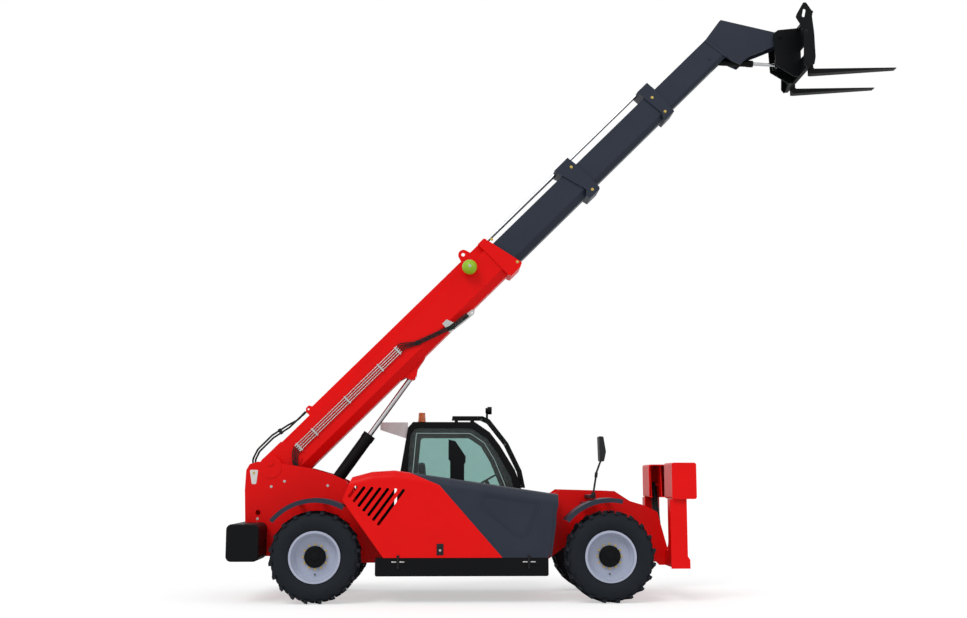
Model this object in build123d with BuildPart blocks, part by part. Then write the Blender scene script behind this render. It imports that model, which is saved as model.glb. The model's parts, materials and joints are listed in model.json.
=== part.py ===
"""Telehandler with a four-piece telescopic boom, fork carriage and front stabilisers.

Millimetres, +X forward, +Y to the machine's left, +Z up.
The origin is on the ground, under the middle of the whole machine.
"""
import os
from math import cos, radians, sin

from build123d import *

# ---------------------------------------------------------------- driving sizes
REAR_AXLE_X = -3470.0        # rear axle, measured from the origin
WHEELBASE = 3800.0
TYRE_OD = 1175.0
AXLE_UP = 587.5              # axles, above the level that all heights are measured from
TYRE_WIDTH = 405.0
RIM_SEAT_D = 622.0           # where the tyre bead sits
RIM_FLANGE_D = 664.0
TRACK = 1930.0               # between the wheels' middle planes
LUG_COUNT = 20               # tread lugs on each shoulder
LUG_DEPTH = 34.0
HUB_D = 270.0
KINGPIN_Y = 800.0            # steering axis, from the middle plane
KINGPIN_D = 56.0
STEER_CLEARANCE = 8.0        # yoke to knuckle, each side
FIT = 0.3                    # seated pieces that don't move together
PIN_FIT = 0.05               # radial, on hinge pins
ROD_FIT = 0.3                # radial, rod in its gland
SLIDE_GAP = 10.0             # boom section to the next one, all round
PAD_GAP = 0.5                # wear pad to the section it slides on
PAD_LENGTH = 140.0

AXLE_TUBE_D = 190.0
DIFF_D = 370.0

FRAME_Y = 335.0              # inner face of each main plate
FRAME_T = 30.0
BELLY_Z = 470.0
HOOD_IN = 440.0              # inner edge of the hood, from the middle plane
HOOD_HINGE_Z = 1560.0
HOOD_HINGES = (1050.0, 1480.0)   # ahead of the rear axle
HOOD_PIN_D = 16.0
HALF_WIDTH = 1120.0          # counterweight, hood and tank sides

PIVOT_AHEAD = -689.0         # boom pivot, ahead of the rear axle
PIVOT_Z = 1801.0
PIVOT_PIN_D = 90.0
BOOM_ANGLE = 44.9            # above the horizon, as it stands
BOOM_DROP = 182.0            # pivot down to the middle of the sections
BASE_H = 474.0
BASE_W = 400.0
BOOM_WALL = 6.0
BASE_BEVEL = 112.0           # bottom corner of the base section
BEVEL_STEP = 20.0            # less on each section inside
SECTION_TAIL = (-60.0, 1520.0, 2940.0, 4050.0)     # along the boom
SECTION_TIP = (4390.0, 5950.0, 7540.0, 8660.0)
ROD_HEIGHT = 145.0           # telescope cylinder above the pivot line
STAGE_1_D = 54.0
STAGE_1_BORE = 45.0
STAGE_2_D = 40.0
STAGE_TAIL = (2690.0, 4060.0)   # inner ends of the two telescope stages, along the boom
RIDGE_W = 170.0
RIDGE_TOP = 183.0
RIDGE_START = 850.0
RIDGE_LOW = 121.0            # lower stretch of the housing, behind its start

COOLER_IN = 380.0            # cooler's inner face, from the middle plane: inside the hood's swing
COOLER_T = 180.0

LIFT_EYE = (2195.0, -484.0)  # on the boom: along, above the pivot line
LIFT_FOOT = (-225.0, 1003.0)  # on the chassis: ahead of the rear axle, up
LIFT_BARREL_D = 170.0
LIFT_BARREL_L = 1460.0
LIFT_ROD_START = 770.0        # inner end of the rod, from the cylinder's foot
LIFT_ROD_D = 74.0
LIFT_PIN_D = 70.0
EYE_GAP = 8.0                # cylinder eye to its lug, each side

HEAD_PIN = (9445.0, -717.0)  # carriage pivot on the boom's nose
HEAD_PIN_D = 60.0
TILT_FOOT = (8470.0, -230.0)
TILT_ARM = 380.0             # carriage pivot down to the tilt rod's pin
TILT_BARREL_D = 90.0
TILT_BARREL_L = 665.0
TILT_ROD_D = 50.0
TILT_PIN_D = 44.0
FORK_LENGTH = 1190.0
FORK_W = 125.0
FORK_T = 48.0
FORK_Y = 450.0
CARRIAGE_HALF = 600.0

STAB_HINGE_Y = 950.0
STAB_HINGE_Z = 540.0
STAB_PIN_D = 60.0
STAB_ARM = 960.0             # hinge up to the cylinder's pin on the arm
STAB_LUG = (550.0, 760.0)    # rod's pin on the chassis: sideways, up
STAB_X = 4720.0              # middle of the arm, ahead of the rear axle
STAB_BARREL_D = 96.0
STAB_BARREL_L = 770.0
STAB_ROD_D = 48.0

# ------------------------------------------------------------- derived values
WHEEL_R = TYRE_OD / 2
RIDE = WHEEL_R - AXLE_UP     # larger tyres lift the whole machine
AXLES = (("rear", 0.0), ("front", WHEELBASE))
SIDES = (("right", -1), ("left", 1))
SLOPE = radians(BOOM_ANGLE)
BOOM_X = Vector(cos(SLOPE), 0, sin(SLOPE))
PIVOT = Vector(REAR_AXLE_X + PIVOT_AHEAD, 0, PIVOT_Z + RIDE)
SECTION_H = [BASE_H - 2 * (BOOM_WALL + SLIDE_GAP) * n for n in range(4)]
SECTION_W = [BASE_W - 2 * (BOOM_WALL + SLIDE_GAP) * n for n in range(4)]
SECTION_BEVEL = [BASE_BEVEL - BEVEL_STEP * n for n in range(4)]
FRAME_OUT = FRAME_Y + FRAME_T


def side_plane(y=0.0):
    """Upright plane along the machine: local x ahead of the rear axle, local y up."""
    return Plane(origin=(REAR_AXLE_X, y, RIDE), x_dir=(1, 0, 0), z_dir=(0, -1, 0))


def boom_plane(y=0.0):
    """The same plane turned to the boom: local x along it, local y above the pivot line."""
    return Plane(origin=PIVOT + Vector(0, y, 0), x_dir=BOOM_X, z_dir=(0, -1, 0))


def across_boom(along):
    """Plane square to the boom: local x to the left, local y away from the boom's belly."""
    return Plane(origin=PIVOT + BOOM_X * along, x_dir=(0, 1, 0), z_dir=BOOM_X)


def across(ahead, up=0.0):
    """Plane square to the machine: local x to the left, local y up."""
    return Plane(origin=(REAR_AXLE_X + ahead, 0, up + RIDE), x_dir=(0, 1, 0), z_dir=(1, 0, 0))


def level(up):
    """Level plane with its origin over the rear axle."""
    return Plane(origin=(REAR_AXLE_X, 0, up + RIDE))


def boom_point(along, above, y=0.0):
    """Point given in the boom's own directions."""
    up = Vector(-sin(SLOPE), 0, cos(SLOPE))
    return PIVOT + BOOM_X * along + up * above + Vector(0, y, 0)


def machine_point(ahead, up, y=0.0):
    """Point given ahead of the rear axle."""
    return Vector(REAR_AXLE_X + ahead, y, up + RIDE)


def line_plane(start, end):
    """Plane at start, square to the line from start to end."""
    return Plane(origin=start, x_dir=(0, 1, 0), z_dir=(end - start).normalized())


def section_outline(n, wall=0.0):
    """Corners of a boom section: flat top and sides, bevelled bottom corners."""
    half = SECTION_W[n] / 2 - wall
    top = SECTION_H[n] / 2 - wall - BOOM_DROP
    bottom = -SECTION_H[n] / 2 + wall - BOOM_DROP
    rise = SECTION_BEVEL[n] - wall * 0.4
    run = rise * 0.72
    return [(-half, top), (half, top), (half, bottom + rise), (half - run, bottom),
            (-half + run, bottom), (-half, bottom + rise)]


def wear_pads(n, along, outward):
    """Outline of the slabs round section n: top, bottom and sides, on it or on the section outside."""
    half = SECTION_W[n] / 2
    top = SECTION_H[n] / 2 - BOOM_DROP
    bottom = -SECTION_H[n] / 2 - BOOM_DROP
    near, far = (-1, SLIDE_GAP - PAD_GAP) if outward else (PAD_GAP, SLIDE_GAP + 1)
    middle, depth = (near + far) / 2, far - near
    with BuildSketch(across_boom(along)) as pads:
        with Locations((0, top + middle), (0, bottom - middle)):
            Rectangle(half * 0.9, depth)
        with Locations((half + middle, top - 110), (-half - middle, top - 110)):
            Rectangle(depth, 120)
    return pads.sketch


def write(builder, name):
    """Label a finished sub-part and write it to its own file."""
    builder.part.label = name
    export_step(builder.part, f"parts/{name}.step")


os.makedirs("parts", exist_ok=True)

# ------------------------------------------------------------------ main frame
# Side outline of one main plate: ahead of the rear axle, up.
PLATE = [(-990, 560), (-1022, 1433), (-1010, 1700), (-964, 1780), (-860, 1812), (-629, 1801),
         (-157, 1727), (154, 1640), (330, 1560), (620, 1180), (900, 1080), (2780, 1080),
         (3010, 1300), (3223, 1439), (3964, 1419), (4173, 1285), (4376, 1225), (4545, 1138),
         (4610, 900), (4700, 560), (4700, 433), (4560, 433), (4300, 700), (4190, 800),
         (3410, 800), (3300, 690), (3000, BELLY_Z), (560, BELLY_Z), (440, 600), (330, 800),
         (-330, 800), (-440, 560)]
AXLE_PAD_Z = 800.0
STAB_BEAM = (4640.0, 4800.0, 433.0, 640.0)      # ahead from, to, up from, to
SADDLE_W = 150.0
SADDLE_DEPTH = 100.0

with BuildPart() as chassis_frame:
    for _, side in SIDES:
        with BuildSketch(side_plane(side * (FRAME_Y + FRAME_T / 2))):
            Polygon(*PLATE, align=None)
        extrude(amount=FRAME_T / 2, both=True)
        # boss around the boom pivot
        with BuildSketch(side_plane(side * (FRAME_Y + FRAME_T / 2))):
            with Locations((PIVOT_AHEAD, PIVOT_Z - 60)):
                Circle(150)
        extrude(amount=FRAME_T / 2 + 8, both=True)
        # plates that carry the foot of the lift cylinder
        with BuildSketch(side_plane(side * 110)):
            Polygon((-420, 560), (-420, 900), (-330, 1080), (-240, 1110), (-130, 1070),
                    (-110, 960), (-200, 800), (-200, 640), (-330, 560), align=None)
        extrude(amount=20, both=True)
    # belly, rear wall and the floor between the plates
    floors = ((560, 3000, BELLY_Z, BELLY_Z + 20), (-990, -420, 560, 580), (-990, -970, 560, 1380),
              (-520, -500, 560, 800), (-1000, -900, 1380, 1400), (3300, 3320, 690, 1150),
              (560, 580, BELLY_Z, 760), (-100, 330, 780, 800), (3410, 4190, 780, 800),
              (4190, 4560, 700, 720), (-220, -200, 560, 640))
    for back, front, low, high in floors:
        with BuildSketch(side_plane()):
            with Locations(((back + front) / 2, (low + high) / 2)):
                Rectangle(front - back, high - low)
        extrude(amount=FRAME_Y + 1, both=True)
    # cross tubes
    for ahead, up, radius in ((-930, 1560, 60), (900, 620, 70), (2600, 900, 60), (3560, 1080, 50)):
        with BuildSketch(side_plane()):
            with Locations((ahead, up)):
                Circle(radius)
        extrude(amount=FRAME_Y + 1, both=True)
    # front beam that carries the stabilisers
    with BuildSketch(side_plane()):
        with Locations(((STAB_BEAM[0] + STAB_BEAM[1]) / 2, (STAB_BEAM[2] + STAB_BEAM[3]) / 2)):
            Rectangle(STAB_BEAM[1] - STAB_BEAM[0], STAB_BEAM[3] - STAB_BEAM[2])
    extrude(amount=STAB_HINGE_Y - 75, both=True)
    # pivot pin, lift cylinder pin
    with BuildSketch(side_plane()):
        with Locations((PIVOT_AHEAD, PIVOT_Z)):
            Circle(PIVOT_PIN_D / 2)
    extrude(amount=FRAME_OUT + 20, both=True)
    for _, side in SIDES:
        with BuildSketch(side_plane(side * 140)):
            with Locations(LIFT_FOOT):
                Circle(LIFT_PIN_D / 2)
        extrude(amount=20, both=True)
    # posts with the hinge pins of the hood
    for ahead in HOOD_HINGES:
        with BuildSketch(side_plane(-FRAME_Y)):
            Polygon((ahead - 30, 1060), (ahead - 30, HOOD_HINGE_Z + 14), (ahead, HOOD_HINGE_Z + 14),
                    (ahead, 1060), align=None)
        extrude(amount=FRAME_T)
        with BuildSketch(side_plane(-FRAME_Y)):
            Polygon((ahead - 30, HOOD_HINGE_Z - 8), (ahead - 30, HOOD_HINGE_Z + 14),
                    (ahead, HOOD_HINGE_Z + 14), (ahead, HOOD_HINGE_Z - 8), align=None)
        extrude(amount=HOOD_IN + 14 - FRAME_Y)
        with BuildSketch(across(ahead - 1)):
            with Locations((-HOOD_IN, HOOD_HINGE_Z)):
                Circle(HOOD_PIN_D / 2)
        extrude(amount=64)
    # lashing hole in each rear plate
    with BuildSketch(side_plane()):
        with Locations((-840, 1135)):
            Circle(35)
    extrude(amount=FRAME_OUT + 20, both=True, mode=Mode.SUBTRACT)
    # hinge lugs and rod lugs of the stabilisers
    for _, side in SIDES:
        for ahead in (STAB_BEAM[0] + 10, STAB_BEAM[1] - 10):
            with BuildSketch(across(ahead)):
                Polygon((side * 870, STAB_BEAM[2]), (side * 870, STAB_BEAM[3]),
                        (side * (STAB_HINGE_Y + 50), STAB_HINGE_Z + 50),
                        (side * (STAB_HINGE_Y + 50), STAB_HINGE_Z - 50), align=None)
            extrude(amount=10, both=True)
            with BuildSketch(across(STAB_X + (30 + EYE_GAP + 8) * (1 if ahead > STAB_X else -1))):
                Polygon((side * 400, STAB_BEAM[3] - 10), (side * 640, STAB_BEAM[3] - 10),
                        (side * (STAB_LUG[0] + 45), STAB_LUG[1] + 45),
                        (side * (STAB_LUG[0] - 45), STAB_LUG[1] + 45), align=None)
            extrude(amount=8, both=True)
        with BuildSketch(across(STAB_X)):
            Polygon((side * 720, STAB_BEAM[3] + 1), (side * 760, STAB_BEAM[3] - 50),
                    (side * (STAB_HINGE_Y - 74), STAB_BEAM[3] - 50), (side * (STAB_HINGE_Y - 74), STAB_BEAM[3] + 1),
                    align=None)
        extrude(amount=STAB_ROD_D / 2 + 10, both=True, mode=Mode.SUBTRACT)
        with BuildSketch(across(STAB_X)):
            with Locations((side * STAB_HINGE_Y, STAB_HINGE_Z)):
                Circle(STAB_PIN_D / 2)
        extrude(amount=(STAB_BEAM[1] - STAB_BEAM[0]) / 2 + 8, both=True)
with chassis_frame:
    # saddle in the beam's top, where the lowered boom's head comes down
    with BuildSketch(across(STAB_BEAM[0] - 1)):
        with Locations((0, STAB_BEAM[3])):
            Rectangle(SADDLE_W, 2 * SADDLE_DEPTH)
    extrude(amount=STAB_BEAM[1] - STAB_BEAM[0] + 2, mode=Mode.SUBTRACT)
write(chassis_frame, "chassis_frame")

# --------------------------------------------------------------- counterweight
CW_BACK, CW_FRONT, CW_LOW, CW_TOP = -1131.0, -713.0, 531.0, 1005.0


def plate_back(up):
    """Rear edge of the main plates at a height, ahead of the rear axle."""
    (low_x, low_z), (high_x, high_z) = PLATE[:2]
    return low_x + (high_x - low_x) * (up - low_z) / (high_z - low_z)


with BuildPart() as counterweight:
    with BuildSketch(side_plane()):
        with Locations(((CW_BACK + CW_FRONT) / 2, (CW_LOW + CW_TOP) / 2)):
            RectangleRounded(CW_FRONT - CW_BACK, CW_TOP - CW_LOW, 70)
    extrude(amount=HALF_WIDTH, both=True)
    fillet(counterweight.edges().group_by(Axis.Y)[0] + counterweight.edges().group_by(Axis.Y)[-1], 18)
    # bay that the rear of the frame stands in
    with BuildSketch(side_plane()):
        Polygon((plate_back(CW_LOW - 1) - FIT, CW_LOW - 1), (plate_back(CW_TOP + 1) - FIT, CW_TOP + 1),
                (CW_FRONT + 1, CW_TOP + 1), (CW_FRONT + 1, CW_LOW - 1), align=None)
    extrude(amount=FRAME_OUT + 8 + FIT, both=True, mode=Mode.SUBTRACT)
write(counterweight, "counterweight")

# ------------------------------------------------------------------------ axles
EAR_Z = 112.0                # half height of the knuckle between the yoke's ears
EAR_T = 30.0

for axle, ahead in AXLES:
    with BuildPart() as axle_housing:
        with BuildSketch(Plane(origin=machine_point(ahead, AXLE_UP), x_dir=(1, 0, 0), z_dir=(0, 1, 0))):
            Circle(AXLE_TUBE_D / 2)
        extrude(amount=KINGPIN_Y - 110, both=True)
        # differential, turned about the axle
        with BuildSketch(Plane(origin=machine_point(ahead, AXLE_UP), x_dir=(0, 1, 0), z_dir=(0, 0, 1))):
            Polygon((-230, 0), (-170, DIFF_D / 2 - 50), (-90, DIFF_D / 2), (90, DIFF_D / 2),
                    (170, DIFF_D / 2 - 50), (230, 0), align=None)
        revolve(axis=Axis(machine_point(ahead, AXLE_UP), (0, 1, 0)))
        # pinion housing toward the middle of the machine
        toward = 1 if axle == "rear" else -1
        with BuildSketch(across(ahead, AXLE_UP)):
            Circle(90)
        extrude(amount=330 * toward)
        # saddle pads under the main plates
        for _, side in SIDES:
            with BuildSketch(level(AXLE_UP + 40)):
                with Locations((ahead, side * (FRAME_Y + FRAME_T / 2))):
                    Rectangle(260, 110)
            extrude(amount=AXLE_PAD_Z - 20 - FIT - AXLE_UP - 40)
            # yoke ears and kingpins
            for end in (-1, 1):
                with BuildSketch(level(AXLE_UP + end * (EAR_Z + STEER_CLEARANCE + EAR_T / 2))):
                    with Locations((ahead, side * (KINGPIN_Y - 65))):
                        Rectangle(110, 130)
                    with Locations((ahead, side * KINGPIN_Y)):
                        Circle(60)
                extrude(amount=EAR_T / 2, both=True)
                with BuildSketch(level(AXLE_UP + end * (EAR_Z + STEER_CLEARANCE + EAR_T))):
                    with Locations((ahead, side * KINGPIN_Y)):
                        Circle(KINGPIN_D / 2)
                extrude(amount=-end * (STEER_CLEARANCE + EAR_T + 50))
            with BuildSketch(side_plane(side * (KINGPIN_Y - 110))):
                with Locations((ahead, AXLE_UP)):
                    Rectangle(110, 2 * (EAR_Z + STEER_CLEARANCE + EAR_T))
            extrude(amount=20, both=True)
    write(axle_housing, f"axle_{axle}")

# --------------------------------------------------------------- wheels, knuckles
SPINDLE_D = 120.0
DISC_IN = 20.0               # wheel disc, outboard of the wheel's middle plane
DISC_T = 14.0
HUB_IN = -95.0               # hub's inner face, from the wheel's middle plane
HUB_OUT = 96.0

with BuildPart() as tyre:
    # carcass: local x is the distance from the axle, local y along it
    with BuildSketch(Plane.XY):
        half = TYRE_WIDTH / 2
        seat = RIM_SEAT_D / 2 + FIT
        bead_top = RIM_FLANGE_D / 2 + 2
        tread = WHEEL_R - LUG_DEPTH
        with BuildLine():
            Polyline((seat, -half * 0.80), (bead_top, -half * 0.80), (seat + 50, -half * 0.90))
            ThreePointArc((seat + 50, -half * 0.90), (seat + 115, -half), (tread - 40, -half * 0.93))
            Polyline((tread - 40, -half * 0.93), (tread - 4, -half * 0.80), (tread, 0),
                     (tread - 4, half * 0.80), (tread - 40, half * 0.93))
            ThreePointArc((tread - 40, half * 0.93), (seat + 115, half), (seat + 50, half * 0.90))
            Polyline((seat + 50, half * 0.90), (bead_top, half * 0.80), (seat, half * 0.80),
                     (seat, -half * 0.80))
        make_face()
    revolve(axis=Axis.Y)
    # tread lugs: two rows of slanted bars, half a pitch apart
    crown = (WHEEL_R ** 2 - 62 ** 2) ** 0.5
    for row in (-1, 1):
        for n in range(LUG_COUNT):
            turn = 360 / LUG_COUNT * (n + (0.25 if row > 0 else -0.25))
            lug_plane = Plane(origin=Vector(crown, 0, 0).rotate(Axis.Y, turn),
                              x_dir=(0, row, 0), z_dir=Vector(1, 0, 0).rotate(Axis.Y, turn))
            with BuildSketch(lug_plane):
                Polygon((-14, 2), (-14, 44), (120, -6), (half * 0.93, -22), (half * 0.93, -62),
                        (110, -48), align=None)
            extrude(amount=-(LUG_DEPTH + 12), taper=-4)

with BuildPart() as rim:
    with BuildSketch(Plane.XY):
        half = TYRE_WIDTH / 2 * 0.80
        bead = RIM_SEAT_D / 2
        flange = RIM_FLANGE_D / 2
        Polygon((flange, -half - 14), (flange, -half - FIT), (bead, -half - FIT), (bead, -half + 60),
                (bead - 26, -half + 90), (bead - 26, half - 90), (bead, half - 60), (bead, half + FIT),
                (flange, half + FIT), (flange, half + 14), (bead - 8, half + 14),
                (bead - 10, half - 56), (bead - 34, half - 86), (bead - 34, DISC_IN + DISC_T + 24),
                (bead - 54, DISC_IN + DISC_T), (HUB_D / 2, DISC_IN + DISC_T), (HUB_D / 2, HUB_OUT - 16),
                (HUB_D / 2 - 18, HUB_OUT), (0, HUB_OUT), (0, HUB_OUT - 30),
                (SPINDLE_D / 2 + PIN_FIT, HUB_OUT - 30), (SPINDLE_D / 2 + PIN_FIT, HUB_IN),
                (HUB_D / 2 - 12, HUB_IN), (HUB_D / 2 - 12, DISC_IN), (bead - 60, DISC_IN),
                (bead - 44, DISC_IN - 8), (bead - 34, -half + 86), (bead - 10, -half + 56),
                (bead - 8, -half - 14), align=None)
    revolve(axis=Axis.Y)

for axle, ahead in AXLES:
    for side_name, side in SIDES:
        # local y of the wheel points outboard
        place = Location(machine_point(ahead, AXLE_UP, side * TRACK / 2), (0, 0, 0 if side > 0 else 180))
        with BuildPart() as placed_tyre:
            with Locations(place):
                add(tyre.part)
        write(placed_tyre, f"tyre_{axle}_{side_name}")
        with BuildPart() as placed_rim:
            with Locations(place):
                add(rim.part)
        write(placed_rim, f"rim_{axle}_{side_name}")
        with BuildPart() as knuckle:
            with BuildSketch(level(AXLE_UP)):
                with Locations((ahead, side * KINGPIN_Y)):
                    Circle(58)
            extrude(amount=EAR_Z, both=True)
            spindle_plane = side_plane(side * (KINGPIN_Y + 20))
            with BuildSketch(spindle_plane):
                with Locations((ahead, AXLE_UP)):
                    Circle(SPINDLE_D / 2)
            extrude(amount=-side * (TRACK / 2 + HUB_OUT - 30 - 1 - KINGPIN_Y - 20))
            with BuildSketch(spindle_plane):
                with Locations((ahead, AXLE_UP)):
                    Circle(90)
            extrude(amount=-side * (TRACK / 2 + HUB_IN - KINGPIN_Y - 20 - FIT))
            # steering arm behind the kingpin
            with BuildSketch(level(AXLE_UP - 40)):
                Polygon((ahead - 20, side * (KINGPIN_Y - 5)), (ahead - 20, side * (KINGPIN_Y + 45)),
                        (ahead - 200, side * (KINGPIN_Y + 5)), (ahead - 200, side * (KINGPIN_Y - 45)),
                        align=None)
            extrude(amount=-30)
            for end in (-1, 1):
                with BuildSketch(level(AXLE_UP + end * EAR_Z)):
                    with Locations((ahead, side * KINGPIN_Y)):
                        Circle(KINGPIN_D / 2 + PIN_FIT)
                extrude(amount=-end * 52, mode=Mode.SUBTRACT)
        write(knuckle, f"knuckle_{axle}_{side_name}")

# ---------------------------------------------------------------------- fenders
FENDER_R = 735.0
FENDER_T = 12.0
FENDER_LIP = 46.0
FENDER_SPAN = {"rear": (60, 141), "front": (77, 141)}     # degrees about the axle

with BuildPart() as fenders:
    for axle, ahead in AXLES:
        start, end = FENDER_SPAN[axle]
        for _, side in SIDES:
            middle = (TRACK / 2 + TYRE_WIDTH / 2 + 760) / 2
            with BuildSketch(side_plane(side * middle)):
                with BuildLine():
                    inner = CenterArc((ahead, AXLE_UP), FENDER_R, start, end - start)
                    outer = CenterArc((ahead, AXLE_UP), FENDER_R + FENDER_T, start, end - start)
                    Line(inner @ 0, outer @ 0)
                    Line(inner @ 1, outer @ 1)
                make_face()
            extrude(amount=(TRACK / 2 + TYRE_WIDTH / 2 - 760) / 2, both=True)
            # rolled outer lip
            with BuildSketch(side_plane(side * (TRACK / 2 + TYRE_WIDTH / 2 - 6))):
                with BuildLine():
                    inner = CenterArc((ahead, AXLE_UP), FENDER_R - FENDER_LIP, start, end - start)
                    outer = CenterArc((ahead, AXLE_UP), FENDER_R + FENDER_T, start, end - start)
                    Line(inner @ 0, outer @ 0)
                    Line(inner @ 1, outer @ 1)
                make_face()
            extrude(amount=6, both=True)
            # two bracket arms from the main plate
            for turn in (88, 112):
                foot = Vector(ahead + (FENDER_R - 6) * cos(radians(turn)),
                              AXLE_UP + (FENDER_R - 6) * sin(radians(turn)))
                with BuildSketch(side_plane(side * (FRAME_OUT + FIT))):
                    with Locations(foot):
                        RectangleRounded(60, 26, 6)
                extrude(amount=-side * (middle + 60 - FRAME_OUT - FIT))
write(fenders, "fenders")

# ------------------------------------------------------- engine, hood and skirt
HOOD_WALL = 10.0
HOOD_CROWN = 120.0          # radius of the rounded upper edge
SKIRT = (772.0, 2998.0, 345.0, 578.0)            # ahead from, to, up from, to
HOOD_LOW = SKIRT[3] + FIT
HOOD = [(875, HOOD_LOW), (341, 1311), (463, 1604), (720, 1672), (1009, 1690), (1560, 1612),
        (3133, 1384), (3130, 1246), (3075, 1000), (3002, HOOD_LOW)]
HOOD_SEAM = [(2421, 560), (1590, 1500), (1199, 1664), (1050, 1727)]   # between the two hood panels
LOUVRES = 7
LOUVRE_AT = (476.0, 1417.0)      # middle of the rearmost slot
LOUVRE_STEP = (82.3, -33.0)
LOUVRE_SLANT = 53.5
LOUVRE_L = 180.0
LOUVRE_GROWTH = 65.0
LOUVRE_W = 38.0
HOOD_BEAD = [(2165, 1390), (2893, 1284), (2736, 882), (2677, 839), (2588, 853), (2112, 1235)]
BEAD_W = 24.0
BEAD_T = 7.0


def crown_edges(builder):
    """Upper edges of the hood's outer face, the ones that are rounded."""
    outer = builder.faces().sort_by(Axis.Y)[0].edges()
    return outer.filter_by(lambda e: e.center().Z > 1250 + RIDE and abs(e.tangent_at(0.5).X) > 0.5)


with BuildPart() as hood_core:
    with BuildSketch(side_plane(-HOOD_IN + 1)):
        Polygon(*HOOD, align=None)
        offset(amount=-HOOD_WALL, kind=Kind.INTERSECTION)
    extrude(amount=HALF_WIDTH - HOOD_IN - HOOD_WALL + 1)
    fillet(crown_edges(hood_core), HOOD_CROWN - HOOD_WALL)
    with BuildSketch(side_plane(-HOOD_IN + 1)):
        Polygon((890, 570), (890, 600), (2985, 600), (2985, 570), align=None)
    extrude(amount=HALF_WIDTH - HOOD_IN - HOOD_WALL + 1)

with BuildPart() as hood:
    with BuildSketch(side_plane(-HOOD_IN)):
        Polygon(*HOOD, align=None)
    extrude(amount=HALF_WIDTH - HOOD_IN)
    fillet(crown_edges(hood), HOOD_CROWN)
    add(hood_core.part, mode=Mode.SUBTRACT)


def hood_top(ahead):
    """Height of the hood's upper edge."""
    for (back, low), (front, high) in zip(HOOD, HOOD[1:]):
        if back <= ahead <= front:
            return low + (high - low) * (ahead - back) / (front - back)


with BuildPart() as hood_rear:
    add(hood.part)
    with BuildSketch(side_plane(-HOOD_IN + 1)):
        Polygon(*HOOD_SEAM, (200, 1727), (200, 560), align=None)
        offset(amount=-FIT / 2, kind=Kind.INTERSECTION)
    extrude(amount=HALF_WIDTH - HOOD_IN + 2, mode=Mode.INTERSECT)
    # slanted louvre slots, each lower and longer than the last
    for n in range(LOUVRES):
        with BuildSketch(side_plane(-HALF_WIDTH + 5)):
            with Locations(Location((LOUVRE_AT[0] + LOUVRE_STEP[0] * n, LOUVRE_AT[1] + LOUVRE_STEP[1] * n, 0),
                                    (0, 0, LOUVRE_SLANT))):
                SlotOverall(LOUVRE_L + LOUVRE_GROWTH * n, LOUVRE_W)
        extrude(amount=30, both=True, mode=Mode.SUBTRACT)
with BuildPart() as hood_front:
    add(hood.part)
    with BuildSketch(side_plane(-HOOD_IN + 1)):
        Polygon(*HOOD_SEAM, (3300, 1727), (3300, 560), align=None)
        offset(amount=-FIT / 2, kind=Kind.INTERSECTION)
    extrude(amount=HALF_WIDTH - HOOD_IN + 2, mode=Mode.INTERSECT)
    # pressed bead round the middle of the panel
    with BuildSketch(side_plane(-HALF_WIDTH + 1)) as bead:
        Polygon(*HOOD_BEAD, align=None)
        fillet(bead.vertices(), 30)
        offset(amount=-BEAD_W, kind=Kind.INTERSECTION, mode=Mode.SUBTRACT)
    extrude(amount=1 + BEAD_T)
    # return along the front edge
    with BuildSketch(side_plane(-HALF_WIDTH + 1)):
        Polygon((3040, HOOD_LOW + 20), (3098, 1000), (3108, 1240), (3080, 1240), (3068, 1004),
                (3012, HOOD_LOW + 20), align=None)
    extrude(amount=1 + BEAD_T)
# hinge knuckles along the inner edge, one on each panel
for panel, ahead in ((hood_rear, HOOD_HINGES[0]), (hood_front, HOOD_HINGES[1])):
    with panel:
        with BuildSketch(across(ahead + 2)):
            with Locations((-HOOD_IN, HOOD_HINGE_Z)):
                Circle(17)
            Polygon((-HOOD_IN - 17, HOOD_HINGE_Z), (-HOOD_IN - 3, HOOD_HINGE_Z),
                    (-HOOD_IN - 3, hood_top(ahead + 60) - 4), (-HOOD_IN - 17, hood_top(ahead + 60) - 4),
                    align=None)
            with Locations((-HOOD_IN, HOOD_HINGE_Z)):
                Circle(HOOD_PIN_D / 2 + PIN_FIT, mode=Mode.SUBTRACT)
        extrude(amount=58)
write(hood_rear, "hood_rear")
write(hood_front, "hood_front")

with BuildPart() as side_skirt:
    with BuildSketch(side_plane(-HALF_WIDTH + 160)):
        with Locations(((SKIRT[0] + SKIRT[1]) / 2, (SKIRT[2] + SKIRT[3]) / 2)):
            RectangleRounded(SKIRT[1] - SKIRT[0], SKIRT[3] - SKIRT[2], 24)
    extrude(amount=155)
    # tray and outriggers that carry it from the main plate
    with BuildSketch(side_plane(-FRAME_OUT - FIT)):
        with Locations(((SKIRT[0] + SKIRT[1]) / 2, SKIRT[2] + 60)):
            Rectangle(SKIRT[1] - SKIRT[0] - 80, 16)
        for ahead in (1000, 2700):
            with Locations((ahead, 500)):
                Rectangle(60, 120)
    extrude(amount=HALF_WIDTH - 150 - FRAME_OUT)
write(side_skirt, "side_skirt")

with BuildPart() as engine:
    with BuildSketch(side_plane(-480)):
        Polygon((1000, 600), (1000, 1180), (1150, 1340), (1900, 1340), (2050, 1180), (2050, 600), align=None)
    extrude(amount=520)
    # radiator pack ahead of the engine and mounts down to the tray
    with BuildSketch(side_plane(-470)):
        Polygon((2200, 620), (2200, 1180), (2320, 1180), (2320, 620), align=None)
    extrude(amount=540)
    with BuildSketch(side_plane(-500)):
        for ahead in (1100, 1950, 2260):
            with Locations((ahead, 530)):
                Rectangle(90, 2 * (530 - SKIRT[2] - 68 - FIT))
    extrude(amount=440)
    with BuildSketch(side_plane(-470)):
        with Locations((2125, 900)):
            Rectangle(170, 120)
    extrude(amount=300)
write(engine, "engine")

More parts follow.
